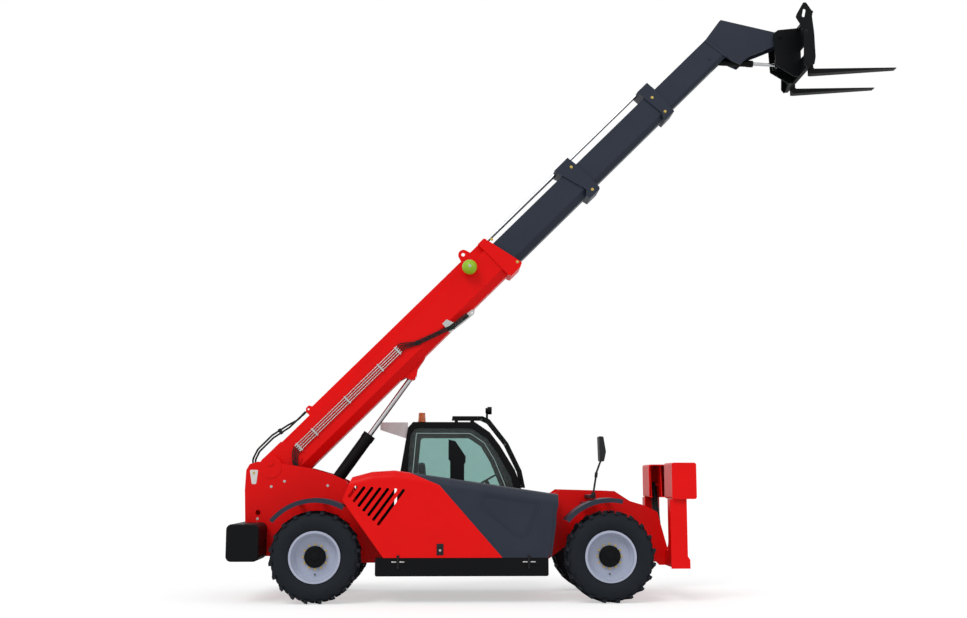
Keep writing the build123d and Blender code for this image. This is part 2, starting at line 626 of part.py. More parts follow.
with BuildPart() as cooler:
    # core and its two tanks, on arms from the main plate
    with BuildSketch(side_plane(-COOLER_IN)):
        Polygon((500, 1210), (500, 1500), (540, 1530), (950, 1530), (950, 1050), (700, 1050), align=None)
    extrude(amount=COOLER_T)
    with BuildSketch(side_plane(-COOLER_IN + 8)):
        Polygon((480, 1250), (480, 1490), (520, 1530), (520, 1220), align=None)
        Polygon((935, 1070), (935, 1545), (985, 1545), (985, 1070), align=None)
    extrude(amount=COOLER_T + 16)
    with BuildSketch(side_plane(-FRAME_OUT - FIT)):
        for ahead in (620, 860):
            with Locations((ahead, 1180)):
                Rectangle(60, 70)
    extrude(amount=COOLER_IN + 10 - FRAME_OUT)
write(cooler, "cooler")

# ------------------------------------------------------------- left side tank
with BuildPart() as left_tank:
    with BuildSketch(side_plane(FRAME_OUT + FIT)):
        Polygon((772, 360), (772, 560), (2998, 560), (2998, 360), align=None)
    extrude(amount=-(HALF_WIDTH - 60 - FRAME_OUT))
    # two treads below the door
    for out, up in ((HALF_WIDTH, 380), (HALF_WIDTH - 30, 520)):
        with BuildSketch(level(up)):
            with Locations((1750, out - 60)):
                RectangleRounded(620, 110, 20)
        extrude(amount=24)
write(left_tank, "left_tank")

# -------------------------------------------------------------------------- cab
CAB_IN, CAB_OUT = 275.0, 1130.0
CAB_WALL = 34.0
CAB_FLOOR_Z = 700.0
CAB_STEP_Z = 1100.0          # above this the cab reaches in over the main plate
CAB_LOW_IN = FRAME_OUT + 20
CAB = [(1010, CAB_FLOOR_Z), (1010, 1500), (1044, 1707), (1143, 2300), (1215, 2380), (2089, 2380),
       (2300, 2235), (2442, 2050), (2653, 1707), (2737, 1470), (2760, 1100), (2700, CAB_FLOOR_Z)]
DOOR = [(1190, 800), (1190, 1560), (1250, 2250), (2040, 2250), (2250, 2110), (2400, 1860), (2560, 1470),
        (2560, 1090), (2300, 800)]
WINDOW = [(1120, 1380), (1180, 2200), (1250, 2290), (2040, 2290), (2260, 2150), (2400, 1950),
          (2600, 1600), (2650, 1380)]
WINDSCREEN_CUT = [(2100, 2320), (2140, 2600), (2900, 2600), (2900, 1440), (2600, 1440)]
LOWER_CUT = [(2600, 820), (2600, 1330), (2900, 1330), (2900, 820)]
REAR_CUT = [(900, 1480), (900, 2230), (1300, 2230), (1120, 1480)]
DOOR_GAP = 6.0
DOOR_AXIS = (1205.0, 1140.0)     # ahead, sideways
DOOR_HINGES = (1000.0, 1480.0)   # lower ends of the knuckles
DOOR_PIN_D = 12.0
GLASS_T = 6.0
CAB_MID = (CAB_IN + CAB_OUT) / 2


with BuildPart() as cab_core:
    with BuildSketch(side_plane(CAB_IN + CAB_WALL)):
        Polygon(*CAB, align=None)
        offset(amount=-CAB_WALL, kind=Kind.INTERSECTION)
    extrude(amount=-(CAB_OUT - CAB_IN - 2 * CAB_WALL))
    with BuildSketch(side_plane(CAB_IN)):
        Polygon((900, 600), (900, CAB_STEP_Z + CAB_WALL), (2900, CAB_STEP_Z + CAB_WALL), (2900, 600), align=None)
    extrude(amount=-(CAB_LOW_IN + CAB_WALL - CAB_IN), mode=Mode.SUBTRACT)

with BuildPart() as cab_shell:
    with BuildSketch(side_plane(CAB_IN)):
        Polygon(*CAB, align=None)
    extrude(amount=-(CAB_OUT - CAB_IN))
    # step over the main plate, then the inside
    with BuildSketch(side_plane(CAB_IN)):
        Polygon((900, 600), (900, CAB_STEP_Z), (2900, CAB_STEP_Z), (2900, 600), align=None)
    extrude(amount=-(CAB_LOW_IN - CAB_IN), mode=Mode.SUBTRACT)
    add(cab_core.part, mode=Mode.SUBTRACT)
    # window of the inner side, door opening on the outer side
    with BuildSketch(side_plane(CAB_IN - 1)) as inner_window:
        Polygon(*WINDOW, align=None)
        fillet(inner_window.vertices(), 60)
    extrude(amount=-(CAB_WALL + 2), mode=Mode.SUBTRACT)
    with BuildSketch(side_plane(CAB_OUT + 1)):
        Polygon(*DOOR, align=None)
        offset(amount=DOOR_GAP, kind=Kind.INTERSECTION)
    extrude(amount=CAB_WALL + 2, mode=Mode.SUBTRACT)
    # windscreen with the roof light, lower front window, rear window
    pane_half = (CAB_OUT - CAB_IN) / 2 - 60
    low_pane_half = 270.0
    with BuildSketch(side_plane(CAB_MID)):
        Polygon(*WINDSCREEN_CUT, align=None)
    extrude(amount=pane_half, both=True, mode=Mode.SUBTRACT)
    with BuildSketch(side_plane(CAB_MID)):
        Polygon(*LOWER_CUT, align=None)
    extrude(amount=low_pane_half, both=True, mode=Mode.SUBTRACT)
    with BuildSketch(side_plane(CAB_MID)):
        Polygon(*REAR_CUT, align=None)
    extrude(amount=pane_half, both=True, mode=Mode.SUBTRACT)
    # hinge brackets and pins of the door
    for up in DOOR_HINGES:
        for low in (up - 14, up + 92):
            with BuildSketch(level(low)):
                with Locations((DOOR_AXIS[0] - 40, CAB_OUT + 5)):
                    Rectangle(32, 30)
                with Locations((DOOR_AXIS[0] - 28, CAB_OUT + 12)):
                    Rectangle(56, 16)
                with Locations(DOOR_AXIS):
                    Circle(8)
            extrude(amount=12)
        with BuildSketch(level(up - 14)):
            with Locations(DOOR_AXIS):
                Circle(DOOR_PIN_D / 2)
        extrude(amount=118)
    # feet on the main plate
    for ahead in (1150, 2600):
        with BuildSketch(level(CAB_FLOOR_Z)):
            with Locations((ahead, FRAME_OUT + FIT + 60)):
                Rectangle(120, 120)
        extrude(amount=-(CAB_FLOOR_Z - 560 - FIT))
write(cab_shell, "cab_shell")

# panes lie in the openings, a seating gap inside their edges
with BuildPart() as cab_glass:
    with BuildSketch(side_plane(CAB_IN + 12)) as inner_pane:
        Polygon(*WINDOW, align=None)
        fillet(inner_pane.vertices(), 60)
        offset(amount=-FIT)
    extrude(amount=-GLASS_T)
    for outline in (WINDSCREEN_CUT, LOWER_CUT, REAR_CUT):
        with BuildSketch(side_plane(CAB_MID)):
            Polygon(*CAB, align=None)
            offset(amount=-12, kind=Kind.INTERSECTION)
            offset(amount=-GLASS_T, kind=Kind.INTERSECTION, mode=Mode.SUBTRACT)
            Polygon(*outline, align=None, mode=Mode.INTERSECT)
        extrude(amount=(low_pane_half if outline is LOWER_CUT else pane_half) - FIT, both=True)
write(cab_glass, "cab_glass")

with BuildPart() as cab_door:
    with BuildSketch(side_plane(CAB_OUT)):
        Polygon(*DOOR, align=None)
    extrude(amount=CAB_WALL)
    with BuildSketch(side_plane(CAB_OUT)) as door_window:
        Polygon(*DOOR, align=None)
        offset(amount=-70, kind=Kind.INTERSECTION)
        fillet(door_window.vertices(), 50)
    extrude(amount=CAB_WALL, mode=Mode.SUBTRACT)
    # hinge knuckles along the rear edge, grab handle
    for up in DOOR_HINGES:
        with BuildSketch(level(up)):
            with Locations(DOOR_AXIS):
                Circle(14)
            with Locations((DOOR_AXIS[0] + 12, CAB_OUT - 6)):
                Rectangle(50, 28)
            with Locations(DOOR_AXIS):
                Circle(DOOR_PIN_D / 2 + PIN_FIT, mode=Mode.SUBTRACT)
        extrude(amount=90)
    with BuildSketch(side_plane(CAB_OUT)):
        with Locations((2480, 1200)):
            RectangleRounded(40, 160, 15)
    extrude(amount=-30)
write(cab_door, "cab_door")

with BuildPart() as door_glass:
    with BuildSketch(side_plane(CAB_OUT - 12)) as door_pane:
        Polygon(*DOOR, align=None)
        offset(amount=-70, kind=Kind.INTERSECTION)
        fillet(door_pane.vertices(), 50)
        offset(amount=-FIT)
    extrude(amount=GLASS_T)
write(door_glass, "door_glass")

# ------------------------------------------------------------ seat and controls
SEAT_AHEAD = 1620.0
with BuildPart() as seat:
    with BuildSketch(side_plane(CAB_MID)):
        Polygon((SEAT_AHEAD - 230, 1179), (SEAT_AHEAD + 260, 1192.4), (SEAT_AHEAD + 280, 1290),
                (SEAT_AHEAD - 150, 1280), (SEAT_AHEAD - 250, 1820), (SEAT_AHEAD - 350, 1820),
                (SEAT_AHEAD - 300, 1240), align=None)
    extrude(amount=240, both=True)
    fillet(seat.edges().filter_by(Axis.Y), 22)
write(seat, "seat")

with BuildPart() as cab_console:
    # seat base
    with BuildSketch(side_plane(CAB_MID)):
        Polygon((SEAT_AHEAD - 220, CAB_FLOOR_Z + CAB_WALL + FIT), (SEAT_AHEAD - 200, 1180 - FIT),
                (SEAT_AHEAD + 200, 1190 - FIT), (SEAT_AHEAD + 220, CAB_FLOOR_Z + CAB_WALL + FIT), align=None)
    extrude(amount=190, both=True)
    # dashboard pedestal
    with BuildSketch(side_plane(CAB_MID)):
        Polygon((2330, CAB_FLOOR_Z + CAB_WALL + FIT), (2300, 1300), (2340, 1470), (2520, 1440),
                (2600, 1250), (2560, CAB_FLOOR_Z + CAB_WALL + FIT), align=None)
    extrude(amount=210, both=True)
    # steering column and wheel
    column = Plane(origin=machine_point(2330, 1440, CAB_MID), x_dir=(0, 1, 0), z_dir=(-0.5, 0, 0.866))
    with BuildSketch(column):
        Circle(28)
    extrude(amount=140)
    with BuildSketch(column.offset(130)):
        Circle(190)
        Circle(168, mode=Mode.SUBTRACT)
        Rectangle(340, 26)
        Circle(40)
    extrude(amount=22)
write(cab_console, "cab_console")

# ------------------------------------------------- roof guard, beacon, mirrors
with BuildPart() as roof_guard:
    # curved bars over the windscreen, with two cross bars
    for y in (CAB_IN + 70, CAB_MID, CAB_OUT - 70):
        with BuildSketch(side_plane(y)):
            with BuildLine():
                Polyline((1770, 2466), (2200, 2466), (2300, 2420), (2560, 2090), (2750, 1700), (2800, 1460),
                         (2770, 1455), (2722, 1690), (2535, 2075), (2285, 2392), (2190, 2436), (1770, 2436),
                         (1770, 2466))
            make_face()
        extrude(amount=14, both=True)
        with BuildSketch(side_plane(y)):
            with Locations((1830, (2380 + FIT + 2440) / 2), (2060, (2380 + FIT + 2440) / 2)):
                Rectangle(40, 60 - FIT)
        extrude(amount=14, both=True)
    for ahead, up in ((1800, 2451), (2200, 2445), (2545, 2082), (2780, 1490)):
        with BuildSketch(side_plane(CAB_MID)):
            with Locations((ahead, up)):
                Circle(15)
        extrude(amount=(CAB_OUT - CAB_IN) / 2 - 70, both=True)
    # work lamp on the inner bar
    with BuildSketch(side_plane(CAB_IN + 70)):
        Polygon((2246, 2430), (2246, 2530), (2276, 2530), (2276, 2415), align=None)
    extrude(amount=12, both=True)
    with BuildSketch(across(2240, 2545)):
        with Locations((CAB_IN + 70, 0)):
            Circle(38)
    extrude(amount=30)
    with BuildSketch(across(2268, 2545)):
        with Locations((CAB_IN + 70, 0)):
            Circle(54)
            Circle(46, mode=Mode.SUBTRACT)
    extrude(amount=60)
    with BuildSketch(across(2268, 2545)):
        with Locations((CAB_IN + 70, 0)):
            Circle(47)
    extrude(amount=44)
write(roof_guard, "roof_guard")

with BuildPart() as beacon:
    with BuildSketch(level(2380 + FIT)):
        with Locations((1333, 700)):
            Circle(60)
    extrude(amount=28)
    with BuildSketch(level(2380 + FIT + 28)):
        with Locations((1333, 700)):
            Circle(54)
    extrude(amount=122, taper=3)
write(beacon, "beacon")

with BuildPart() as rear_visor:
    with BuildSketch(side_plane(CAB_IN + 40)):
        Polygon((752, 2375), (753, 2268), (1117.6, 2150), (1142, 2296), (1142, 2375), align=None)
    extrude(amount=-10)
write(rear_visor, "rear_visor")

MIRROR_Y = -950.0
with BuildPart() as mirrors:
    with BuildSketch(side_plane(MIRROR_Y)):
        Polygon((3676, 2135), (3734, 2130), (3766, 1931), (3738, 1805), (3685, 1813), align=None)
    extrude(amount=105, both=True)
    fillet(mirrors.edges().filter_by(Axis.Y), 12)
    # bent post on its bracket, with the boot round its foot
    for start, end, radius in (((3598, 1350), (3648, 1650), 13), ((3640, 1640), (3712, 1830), 13),
                               ((3598, 1350), (3607, 1404), 30), ((3640, 1600), (3650, 1665), 20)):
        run = machine_point(*end, MIRROR_Y) - machine_point(*start, MIRROR_Y)
        with BuildSketch(line_plane(machine_point(*start, MIRROR_Y), machine_point(*end, MIRROR_Y))):
            Circle(radius)
        extrude(amount=run.length)
    with BuildSketch(side_plane(-FRAME_OUT - FIT)):
        with Locations((3594, 1348)):
            RectangleRounded(80, 50, 10)
    extrude(amount=-MIRROR_Y + 20 - FRAME_OUT - FIT)
write(mirrors, "mirrors")

EXHAUST_IN = 300.0
EXHAUST_DEPTH = 110.0

with BuildPart() as exhaust:
    # stack between the boom and the hood, standing on the main plate
    with BuildSketch(side_plane(-EXHAUST_IN)):
        Polygon((1735, 1400), (1735, 1820), (1712, 1842), (1712, 2112), (1806, 2088), (1943, 1886),
                (1943, 1800), (1925, 1780), (1925, 1400), align=None)
    extrude(amount=EXHAUST_DEPTH)
    with BuildSketch(side_plane(-FRAME_Y - 4)):
        Polygon((1790, 1080 + FIT), (1790, 1420), (1880, 1420), (1880, 1080 + FIT), align=None)
    extrude(amount=22)
    with BuildSketch(side_plane(-EXHAUST_IN - 20)):
        with Locations((1835, 1450)):
            Circle(40)
    extrude(amount=HOOD_IN + 60 - EXHAUST_IN - 20)
    with BuildSketch(level(1340 + FIT)):
        with Locations((1835, -HOOD_IN - 60)):
            Circle(40)
    extrude(amount=110)
write(exhaust, "exhaust")

# ------------------------------------------------------------------------- boom
BASE_TIP_TOP = 4262.0        # the base section's end slants forward toward its belly
BASE_COLLAR = [(4135, 178), (4250, 178), (4262, 150), (4390, -420), (4385, -445), (4330, -470),
               (4150, -470), (4130, -430)]
COLLAR_OUT = 22.0            # collar plates outside the section's sides
CHEEK = [(-150, -90), (-140, 50), (-72, 122), (278, 120), (340, 52), (340, -240), (120, -330), (-60, -200)]
LIFT_LUG = [(1960, -405), (2110, -440), (2135, -515), (2180, -545), (2235, -525), (2310, -470),
            (2460, -440), (2560, -405)]
LIFT_EYE_W = 100.0
PIVOT_TUBE_D = 150.0

with BuildPart() as boom_base:
    with BuildSketch(across_boom(SECTION_TAIL[0])):
        Polygon(*section_outline(0), align=None)
    extrude(amount=SECTION_TIP[0] - SECTION_TAIL[0])
    # housing along the top for the telescope cylinder
    with BuildSketch(boom_plane()):
        Polygon((100, 50), (100, RIDGE_LOW), (RIDGE_START, RIDGE_LOW), (RIDGE_START + 24, RIDGE_TOP),
                (4250, RIDGE_TOP), (4262, 50), align=None)
    extrude(amount=RIDGE_W / 2, both=True)
    # collar
    with BuildSketch(boom_plane()):
        Polygon(*BASE_COLLAR, align=None)
    extrude(amount=BASE_W / 2 + COLLAR_OUT, both=True)
    # eye that holds the hose fitting, at the start of the housing
    with BuildSketch(boom_plane(-RIDGE_W / 2 + 8)):
        Polygon((800, RIDGE_LOW - 10), (800, 190), (836, 226), (890, 226), (920, RIDGE_TOP - 10),
                (920, RIDGE_LOW - 10), align=None)
        with Locations((850, 190)):
            Circle(13, mode=Mode.SUBTRACT)
    extrude(amount=8, both=True)
    # cheeks at the pivot and the tube through them
    for _, side in SIDES:
        with BuildSketch(boom_plane(side * (BASE_W / 2 + 12))):
            Polygon(*CHEEK, align=None)
        extrude(amount=14, both=True)
    with BuildSketch(boom_plane()):
        Circle(PIVOT_TUBE_D / 2)
    extrude(amount=FRAME_Y - EYE_GAP - 8, both=True)
    # lugs for the lift cylinder's eye
    for _, side in SIDES:
        with BuildSketch(boom_plane(side * (LIFT_EYE_W / 2 + EYE_GAP + 15))):
            Polygon(*LIFT_LUG, align=None)
        extrude(amount=15, both=True)
    with BuildSketch(boom_plane()):
        with Locations(LIFT_EYE):
            Circle(LIFT_PIN_D / 2)
    extrude(amount=LIFT_EYE_W / 2 + EYE_GAP + 40, both=True)
    # lifting lug near the end
    with BuildSketch(boom_plane(-60)):
        with BuildLine():
            Polyline((3800, 150), (3830, 250))
            ThreePointArc((3830, 250), (3900, 300), (3970, 250))
            Polyline((3970, 250), (4000, 150), (3800, 150))
        make_face()
    extrude(amount=24)
    # hollow for the next section, slanted end, pivot bore, rod bore
    with BuildSketch(across_boom(SECTION_TAIL[0] - 20)):
        Polygon(*section_outline(0, BOOM_WALL), align=None)
    extrude(amount=SECTION_TIP[0] - SECTION_TAIL[0] + 60, mode=Mode.SUBTRACT)
    with BuildSketch(across_boom(RIDGE_START + 200)):
        with Locations((0, (RIDGE_TOP - BOOM_WALL + 61) / 2)):
            Rectangle(RIDGE_W - 2 * BOOM_WALL, RIDGE_TOP - BOOM_WALL - 61)
    extrude(amount=4400 - RIDGE_START - 200, mode=Mode.SUBTRACT)
    with BuildSketch(boom_plane()):
        Polygon((BASE_TIP_TOP, 400), (BASE_TIP_TOP, 150), (4388, -420), (4388, -500), (4600, -500), (4600, 400),
                align=None)
    extrude(amount=300, both=True, mode=Mode.SUBTRACT)
    # the pivot tube is closed again inside the hollow
    with BuildSketch(boom_plane()):
        Circle(PIVOT_TUBE_D / 2)
    extrude(amount=BASE_W / 2, both=True)
    with BuildSketch(boom_plane()):
        Circle(PIVOT_PIN_D / 2 + PIN_FIT)
    extrude(amount=400, both=True, mode=Mode.SUBTRACT)
    with BuildSketch(boom_plane(-60)):
        with Locations((3900, 232)):
            Circle(26)
    extrude(amount=24, mode=Mode.SUBTRACT)
    extrude(wear_pads(1, 4100, outward=False), amount=PAD_LENGTH)
    # gland block of the telescope cylinder at the collar
    with BuildSketch(across_boom(4150)):
        with Locations((0, ROD_HEIGHT)):
            Circle(STAGE_1_D / 2 + 22)
            Circle(STAGE_1_D / 2 + ROD_FIT, mode=Mode.SUBTRACT)
    extrude(amount=112)
write(boom_base, "boom_base")

# Collars of the moving sections, side outline: along the boom, above the pivot line.
COLLARS = ([(5659, 170), (5927, 172), (5945, 20), (5950, -440), (5930, -468), (5740, -468), (5722, -400),
            (5790, -339), (5659, 133)],
           [(7340, 150), (7540, 150), (7548, 20), (7520, -420), (7334, -424), (7330, -380), (7371, -302),
            (7345, 36)])

for n, name in ((1, "boom_section_2"), (2, "boom_section_3")):
    collar = COLLARS[n - 1]
    with BuildPart() as boom_section:
        with BuildSketch(across_boom(SECTION_TAIL[n])):
            Polygon(*section_outline(n), align=None)
        extrude(amount=SECTION_TIP[n] - SECTION_TAIL[n])
        with BuildSketch(boom_plane()):
            Polygon(*collar, align=None)
        extrude(amount=SECTION_W[n] / 2 + COLLAR_OUT, both=True)
        with BuildSketch(across_boom(SECTION_TAIL[n] - 20)):
            Polygon(*section_outline(n, BOOM_WALL), align=None)
        extrude(amount=SECTION_TIP[n] - SECTION_TAIL[n] + 60, mode=Mode.SUBTRACT)
        extrude(wear_pads(n, SECTION_TAIL[n] + 20, outward=True), amount=PAD_LENGTH)
        extrude(wear_pads(n + 1, SECTION_TIP[n] - 180, outward=False), amount=PAD_LENGTH)
        # way through the collar for the telescope cylinder
        with BuildSketch(across_boom(SECTION_TIP[n] - 400)):
            with Locations((0, ROD_HEIGHT)):
                Circle((STAGE_1_D if n == 1 else STAGE_2_D) / 2 + FIT)
        extrude(amount=500 if n == 1 else 330, mode=Mode.SUBTRACT)
    write(boom_section, name)

with BuildPart() as telescope_stage_1:
    with BuildSketch(across_boom(STAGE_TAIL[0])):
        with Locations((0, ROD_HEIGHT)):
            Circle(STAGE_1_D / 2)
            Circle(STAGE_1_BORE / 2, mode=Mode.SUBTRACT)
    extrude(amount=5945 - STAGE_TAIL[0])
    # gland round the second stage
    with BuildSketch(across_boom(5875)):
        with Locations((0, ROD_HEIGHT)):
            Circle(STAGE_1_BORE / 2 + 1)
            Circle(STAGE_2_D / 2 + ROD_FIT, mode=Mode.SUBTRACT)
    extrude(amount=70)
write(telescope_stage_1, "telescope_stage_1")

with BuildPart() as telescope_stage_2:
    with BuildSketch(across_boom(STAGE_TAIL[1])):
        with Locations((0, ROD_HEIGHT)):
            Circle(STAGE_2_D / 2)
    extrude(amount=7460 - STAGE_TAIL[1])
write(telescope_stage_2, "telescope_stage_2")

# ------------------------------------------------------ inner section and nose
NOSE = [(8610, 5), (8990, 64), (9020, 62), (9455, -625), (9400, -800), (9325, -772), (9117, -690),
        (8921, -606), (8739, -600), (8690, -480), (8668, -379), (8600, -360)]
NOSE_HALF = 128.0
NOSE_T = 22.0
TILT_EYE_W = 96.0

with BuildPart() as boom_section_4:
    with BuildSketch(across_boom(SECTION_TAIL[3])):
        Polygon(*section_outline(3), align=None)
    extrude(amount=SECTION_TIP[3] - SECTION_TAIL[3])
    with BuildSketch(across_boom(SECTION_TAIL[3] - 20)):
        Polygon(*section_outline(3, BOOM_WALL), align=None)
    extrude(amount=SECTION_TIP[3] - SECTION_TAIL[3] + 60, mode=Mode.SUBTRACT)
    extrude(wear_pads(3, SECTION_TAIL[3] + 20, outward=True), amount=PAD_LENGTH)
    # flange plate around the seam
    with BuildSketch(boom_plane()):
        Polygon((8600, 4), (8640, 4), (8690, -378), (8650, -378), align=None)
    extrude(amount=SECTION_W[3] / 2 + 8, both=True)
    for _, side in SIDES:
        with BuildSketch(boom_plane(side * (NOSE_HALF - NOSE_T / 2))):
            Polygon(*NOSE, align=None)
            with Locations(HEAD_PIN):
                Circle(98)
        extrude(amount=NOSE_T / 2, both=True)
        with BuildSketch(boom_plane(side * (NOSE_HALF + 6))):
            with Locations(HEAD_PIN):
                Circle(70)
        extrude(amount=6, both=True)
    # top plate of the nose and a web behind the pin
    with BuildSketch(boom_plane()):
        Polygon((8610, 5), (8990, 64), (9020, 62), (9440, -600), (9420, -612), (9008, 44), (8990, 44),
                (8610, -15), align=None)
    extrude(amount=NOSE_HALF - 1, both=True)
    # way out for the tilt cylinder
    with BuildSketch(boom_plane()):
        Polygon((8420, -300), (8620, -40), (8800, -60), (8800, -420), (8420, -420), align=None)
    extrude(amount=TILT_BARREL_D / 2 + 26, both=True, mode=Mode.SUBTRACT)
    # head pin bore, pin of the tilt cylinder's foot
    with BuildSketch(boom_plane()):
        with Locations(HEAD_PIN):
            Circle(HEAD_PIN_D / 2 + PIN_FIT)
    extrude(amount=300, both=True, mode=Mode.SUBTRACT)
    with BuildSketch(boom_plane()):
        with Locations(TILT_FOOT):
            Circle(TILT_PIN_D / 2)
    extrude(amount=SECTION_W[3] / 2 + 8, both=True)
write(boom_section_4, "boom_section_4")

# -------------------------------------------------------------------- carriage
CARRIAGE_PIN = boom_point(*HEAD_PIN)
TILT_EYE = CARRIAGE_PIN + Vector(-10, 0, -TILT_ARM)
HEAD = (CARRIAGE_PIN.X - REAR_AXLE_X, CARRIAGE_PIN.Z - RIDE)
TILT_PIN = (TILT_EYE.X - REAR_AXLE_X, TILT_EYE.Z - RIDE)
CHEEK_IN = NOSE_HALF + 12 + EYE_GAP
FORK_BACK = HEAD[0] + 318.0          # rear face of the tines' shanks
FORK_BOTTOM = HEAD[1] - 677.0
FORK_TOP = HEAD[1] + 200.0

with BuildPart() as carriage:
    for _, side in SIDES:
        # cheeks outside the boom's nose
        with BuildSketch(side_plane(side * (CHEEK_IN + 12))):
            with BuildLine():
                Polyline((HEAD[0] - 30, HEAD[1] + 92), (FORK_BACK - 20, HEAD[1] + 130),
                         (FORK_BACK - 20, HEAD[1] - 600), (FORK_BACK - 130, HEAD[1] - 600),
                         (TILT_PIN[0] - 60, TILT_PIN[1] - 60), (TILT_PIN[0] - 66, TILT_PIN[1] + 30),
                         (HEAD[0] - 92, HEAD[1] - 30), (HEAD[0] - 92, HEAD[1] + 30), (HEAD[0] - 30, HEAD[1] + 92))
            make_face()
        extrude(amount=12, both=True)
        # inner lugs beside the tilt cylinder's eye
        with BuildSketch(side_plane(side * (TILT_EYE_W / 2 + EYE_GAP + 9))):
            Polygon((TILT_PIN[0] - 50, TILT_PIN[1] - 55), (TILT_PIN[0] - 50, TILT_PIN[1] + 55),
                    (FORK_BACK - 20, TILT_PIN[1] + 90), (FORK_BACK - 20, TILT_PIN[1] - 90), align=None)
        extrude(amount=9, both=True)
        # end plates
        with BuildSketch(side_plane(side * (CARRIAGE_HALF - 12))):
            Polygon((FORK_BACK - 50, HEAD[1] + 345), (FORK_BACK + 20, HEAD[1] + 240), (FORK_BACK + 52, HEAD[1] - 100),
                    (FORK_BACK + 60, HEAD[1] - 460), (FORK_BACK + 40, HEAD[1] - 560),
                    (FORK_BACK - 70, HEAD[1] - 610), (FORK_BACK - 110, HEAD[1] - 560),
                    (FORK_BACK - 90, HEAD[1] - 60), (FORK_BACK - 200, HEAD[1] + 130),
                    (FORK_BACK - 190, HEAD[1] + 170), (FORK_BACK - 90, HEAD[1] + 345), align=None)
        extrude(amount=12, both=True)
        with BuildSketch(side_plane(side * (CARRIAGE_HALF - 12))):
            for back, up, long, wide, turn in ((-86, 190, 130, 42, 78), (-62, -70, 74, 34, 78)):
                with Locations(Location((FORK_BACK + back, HEAD[1] + up, 0), (0, 0, turn))):
                    SlotOverall(long, wide)
        extrude(amount=13, both=True, mode=Mode.SUBTRACT)
    # back plate, top bar, lower bar
    for back, front, low, high in ((-45, -20, -600, -360), (-45, -20, -220, 130), (-60, -10, -600, -560),
                                   (-60, -10, 90, 130)):
        with BuildSketch(side_plane()):
            with Locations((FORK_BACK + (back + front) / 2, HEAD[1] + (low + high) / 2)):
                Rectangle(front - back, high - low)
        extrude(amount=CARRIAGE_HALF - 1, both=True)
    # fork shaft
    with BuildSketch(side_plane()):
        with Locations((FORK_BACK + FORK_T / 2, FORK_TOP + 6)):
            Circle(24)
    extrude(amount=CARRIAGE_HALF - 1, both=True)
    # head pin
    with BuildSketch(side_plane()):
        with Locations(HEAD):
            Circle(HEAD_PIN_D / 2)
    extrude(amount=CHEEK_IN + 40, both=True)
write(carriage, "carriage")

with BuildPart() as forks:
    for _, side in SIDES:
        with BuildSketch(side_plane(side * FORK_Y)):
            Polygon((FORK_BACK, FORK_BOTTOM + 10), (FORK_BACK + 12, FORK_BOTTOM),
                    (FORK_BACK + FORK_T, FORK_BOTTOM), (FORK_BACK + FORK_LENGTH + FORK_T + 8, FORK_BOTTOM + 98),
                    (FORK_BACK + FORK_LENGTH + FORK_T, FORK_BOTTOM + 106),
                    (FORK_BACK + FORK_T + 14, FORK_BOTTOM + 75), (FORK_BACK + FORK_T, FORK_BOTTOM + 90),
                    (FORK_BACK + FORK_T, FORK_TOP - 26), (FORK_BACK, FORK_TOP - 26), align=None)
        extrude(amount=FORK_W / 2, both=True)
        # eye round the fork shaft
        with BuildSketch(side_plane(side * FORK_Y)):
            with Locations((FORK_BACK + FORK_T / 2, FORK_TOP + 6)):
                Circle(42)
                Circle(24 + FIT, mode=Mode.SUBTRACT)
        extrude(amount=FORK_W / 2 - 10, both=True)
write(forks, "forks")


# ------------------------------------------------------------------- cylinders
def cylinder_barrel(foot, eye, bore, outside, length, eye_radius, eye_width, pin, gland):
    """Barrel from its foot toward the eye; pin 0 leaves the foot's cross eye solid."""
    plane = line_plane(foot, eye)
    with BuildPart() as barrel:
        with BuildSketch(plane.offset(eye_radius * 0.6)):
            Circle(outside / 2)
        extrude(amount=length - eye_radius * 0.6)
        with BuildSketch(plane.offset(length - 90)):
            Circle(outside / 2 + gland)
        extrude(amount=90)
        with BuildSketch(Plane(origin=foot, x_dir=plane.z_dir, z_dir=plane.x_dir)):
            Circle(eye_radius)
        extrude(amount=eye_width / 2, both=True)
        with BuildSketch(plane.offset(46)):
            Circle(bore / 2)
        extrude(amount=length, mode=Mode.SUBTRACT)
        if pin:
            with BuildSketch(Plane(origin=foot, x_dir=plane.z_dir, z_dir=plane.x_dir)):
                Circle(pin / 2 + PIN_FIT)
            extrude(amount=eye_width, both=True, mode=Mode.SUBTRACT)
    return barrel


def cylinder_rod(foot, eye, start, rod, eye_radius, eye_width, pin):
    """Rod from inside the barrel to a cross eye; pin 0 leaves the eye solid."""
    plane = line_plane(foot, eye)
    length = (eye - foot).length
    with BuildPart() as piece:
        with BuildSketch(plane.offset(start)):
            Circle(rod / 2)
        extrude(amount=length - start - eye_radius * 0.5)
        with BuildSketch(Plane(origin=eye, x_dir=plane.z_dir, z_dir=plane.x_dir)):
            Circle(eye_radius)
        extrude(amount=eye_width / 2, both=True)
        if pin:
            with BuildSketch(Plane(origin=eye, x_dir=plane.z_dir, z_dir=plane.x_dir)):
                Circle(pin / 2 + PIN_FIT)
            extrude(amount=eye_width, both=True, mode=Mode.SUBTRACT)
    return piece


lift_foot = machine_point(*LIFT_FOOT)
lift_eye = boom_point(*LIFT_EYE)
write(cylinder_barrel(lift_foot, lift_eye, LIFT_ROD_D + 2 * ROD_FIT, LIFT_BARREL_D, LIFT_BARREL_L, 92, 170,
                      0, 6), "lift_barrel")
write(cylinder_rod(lift_foot, lift_eye, LIFT_ROD_START, LIFT_ROD_D, 52, LIFT_EYE_W,
                   LIFT_PIN_D), "lift_rod")

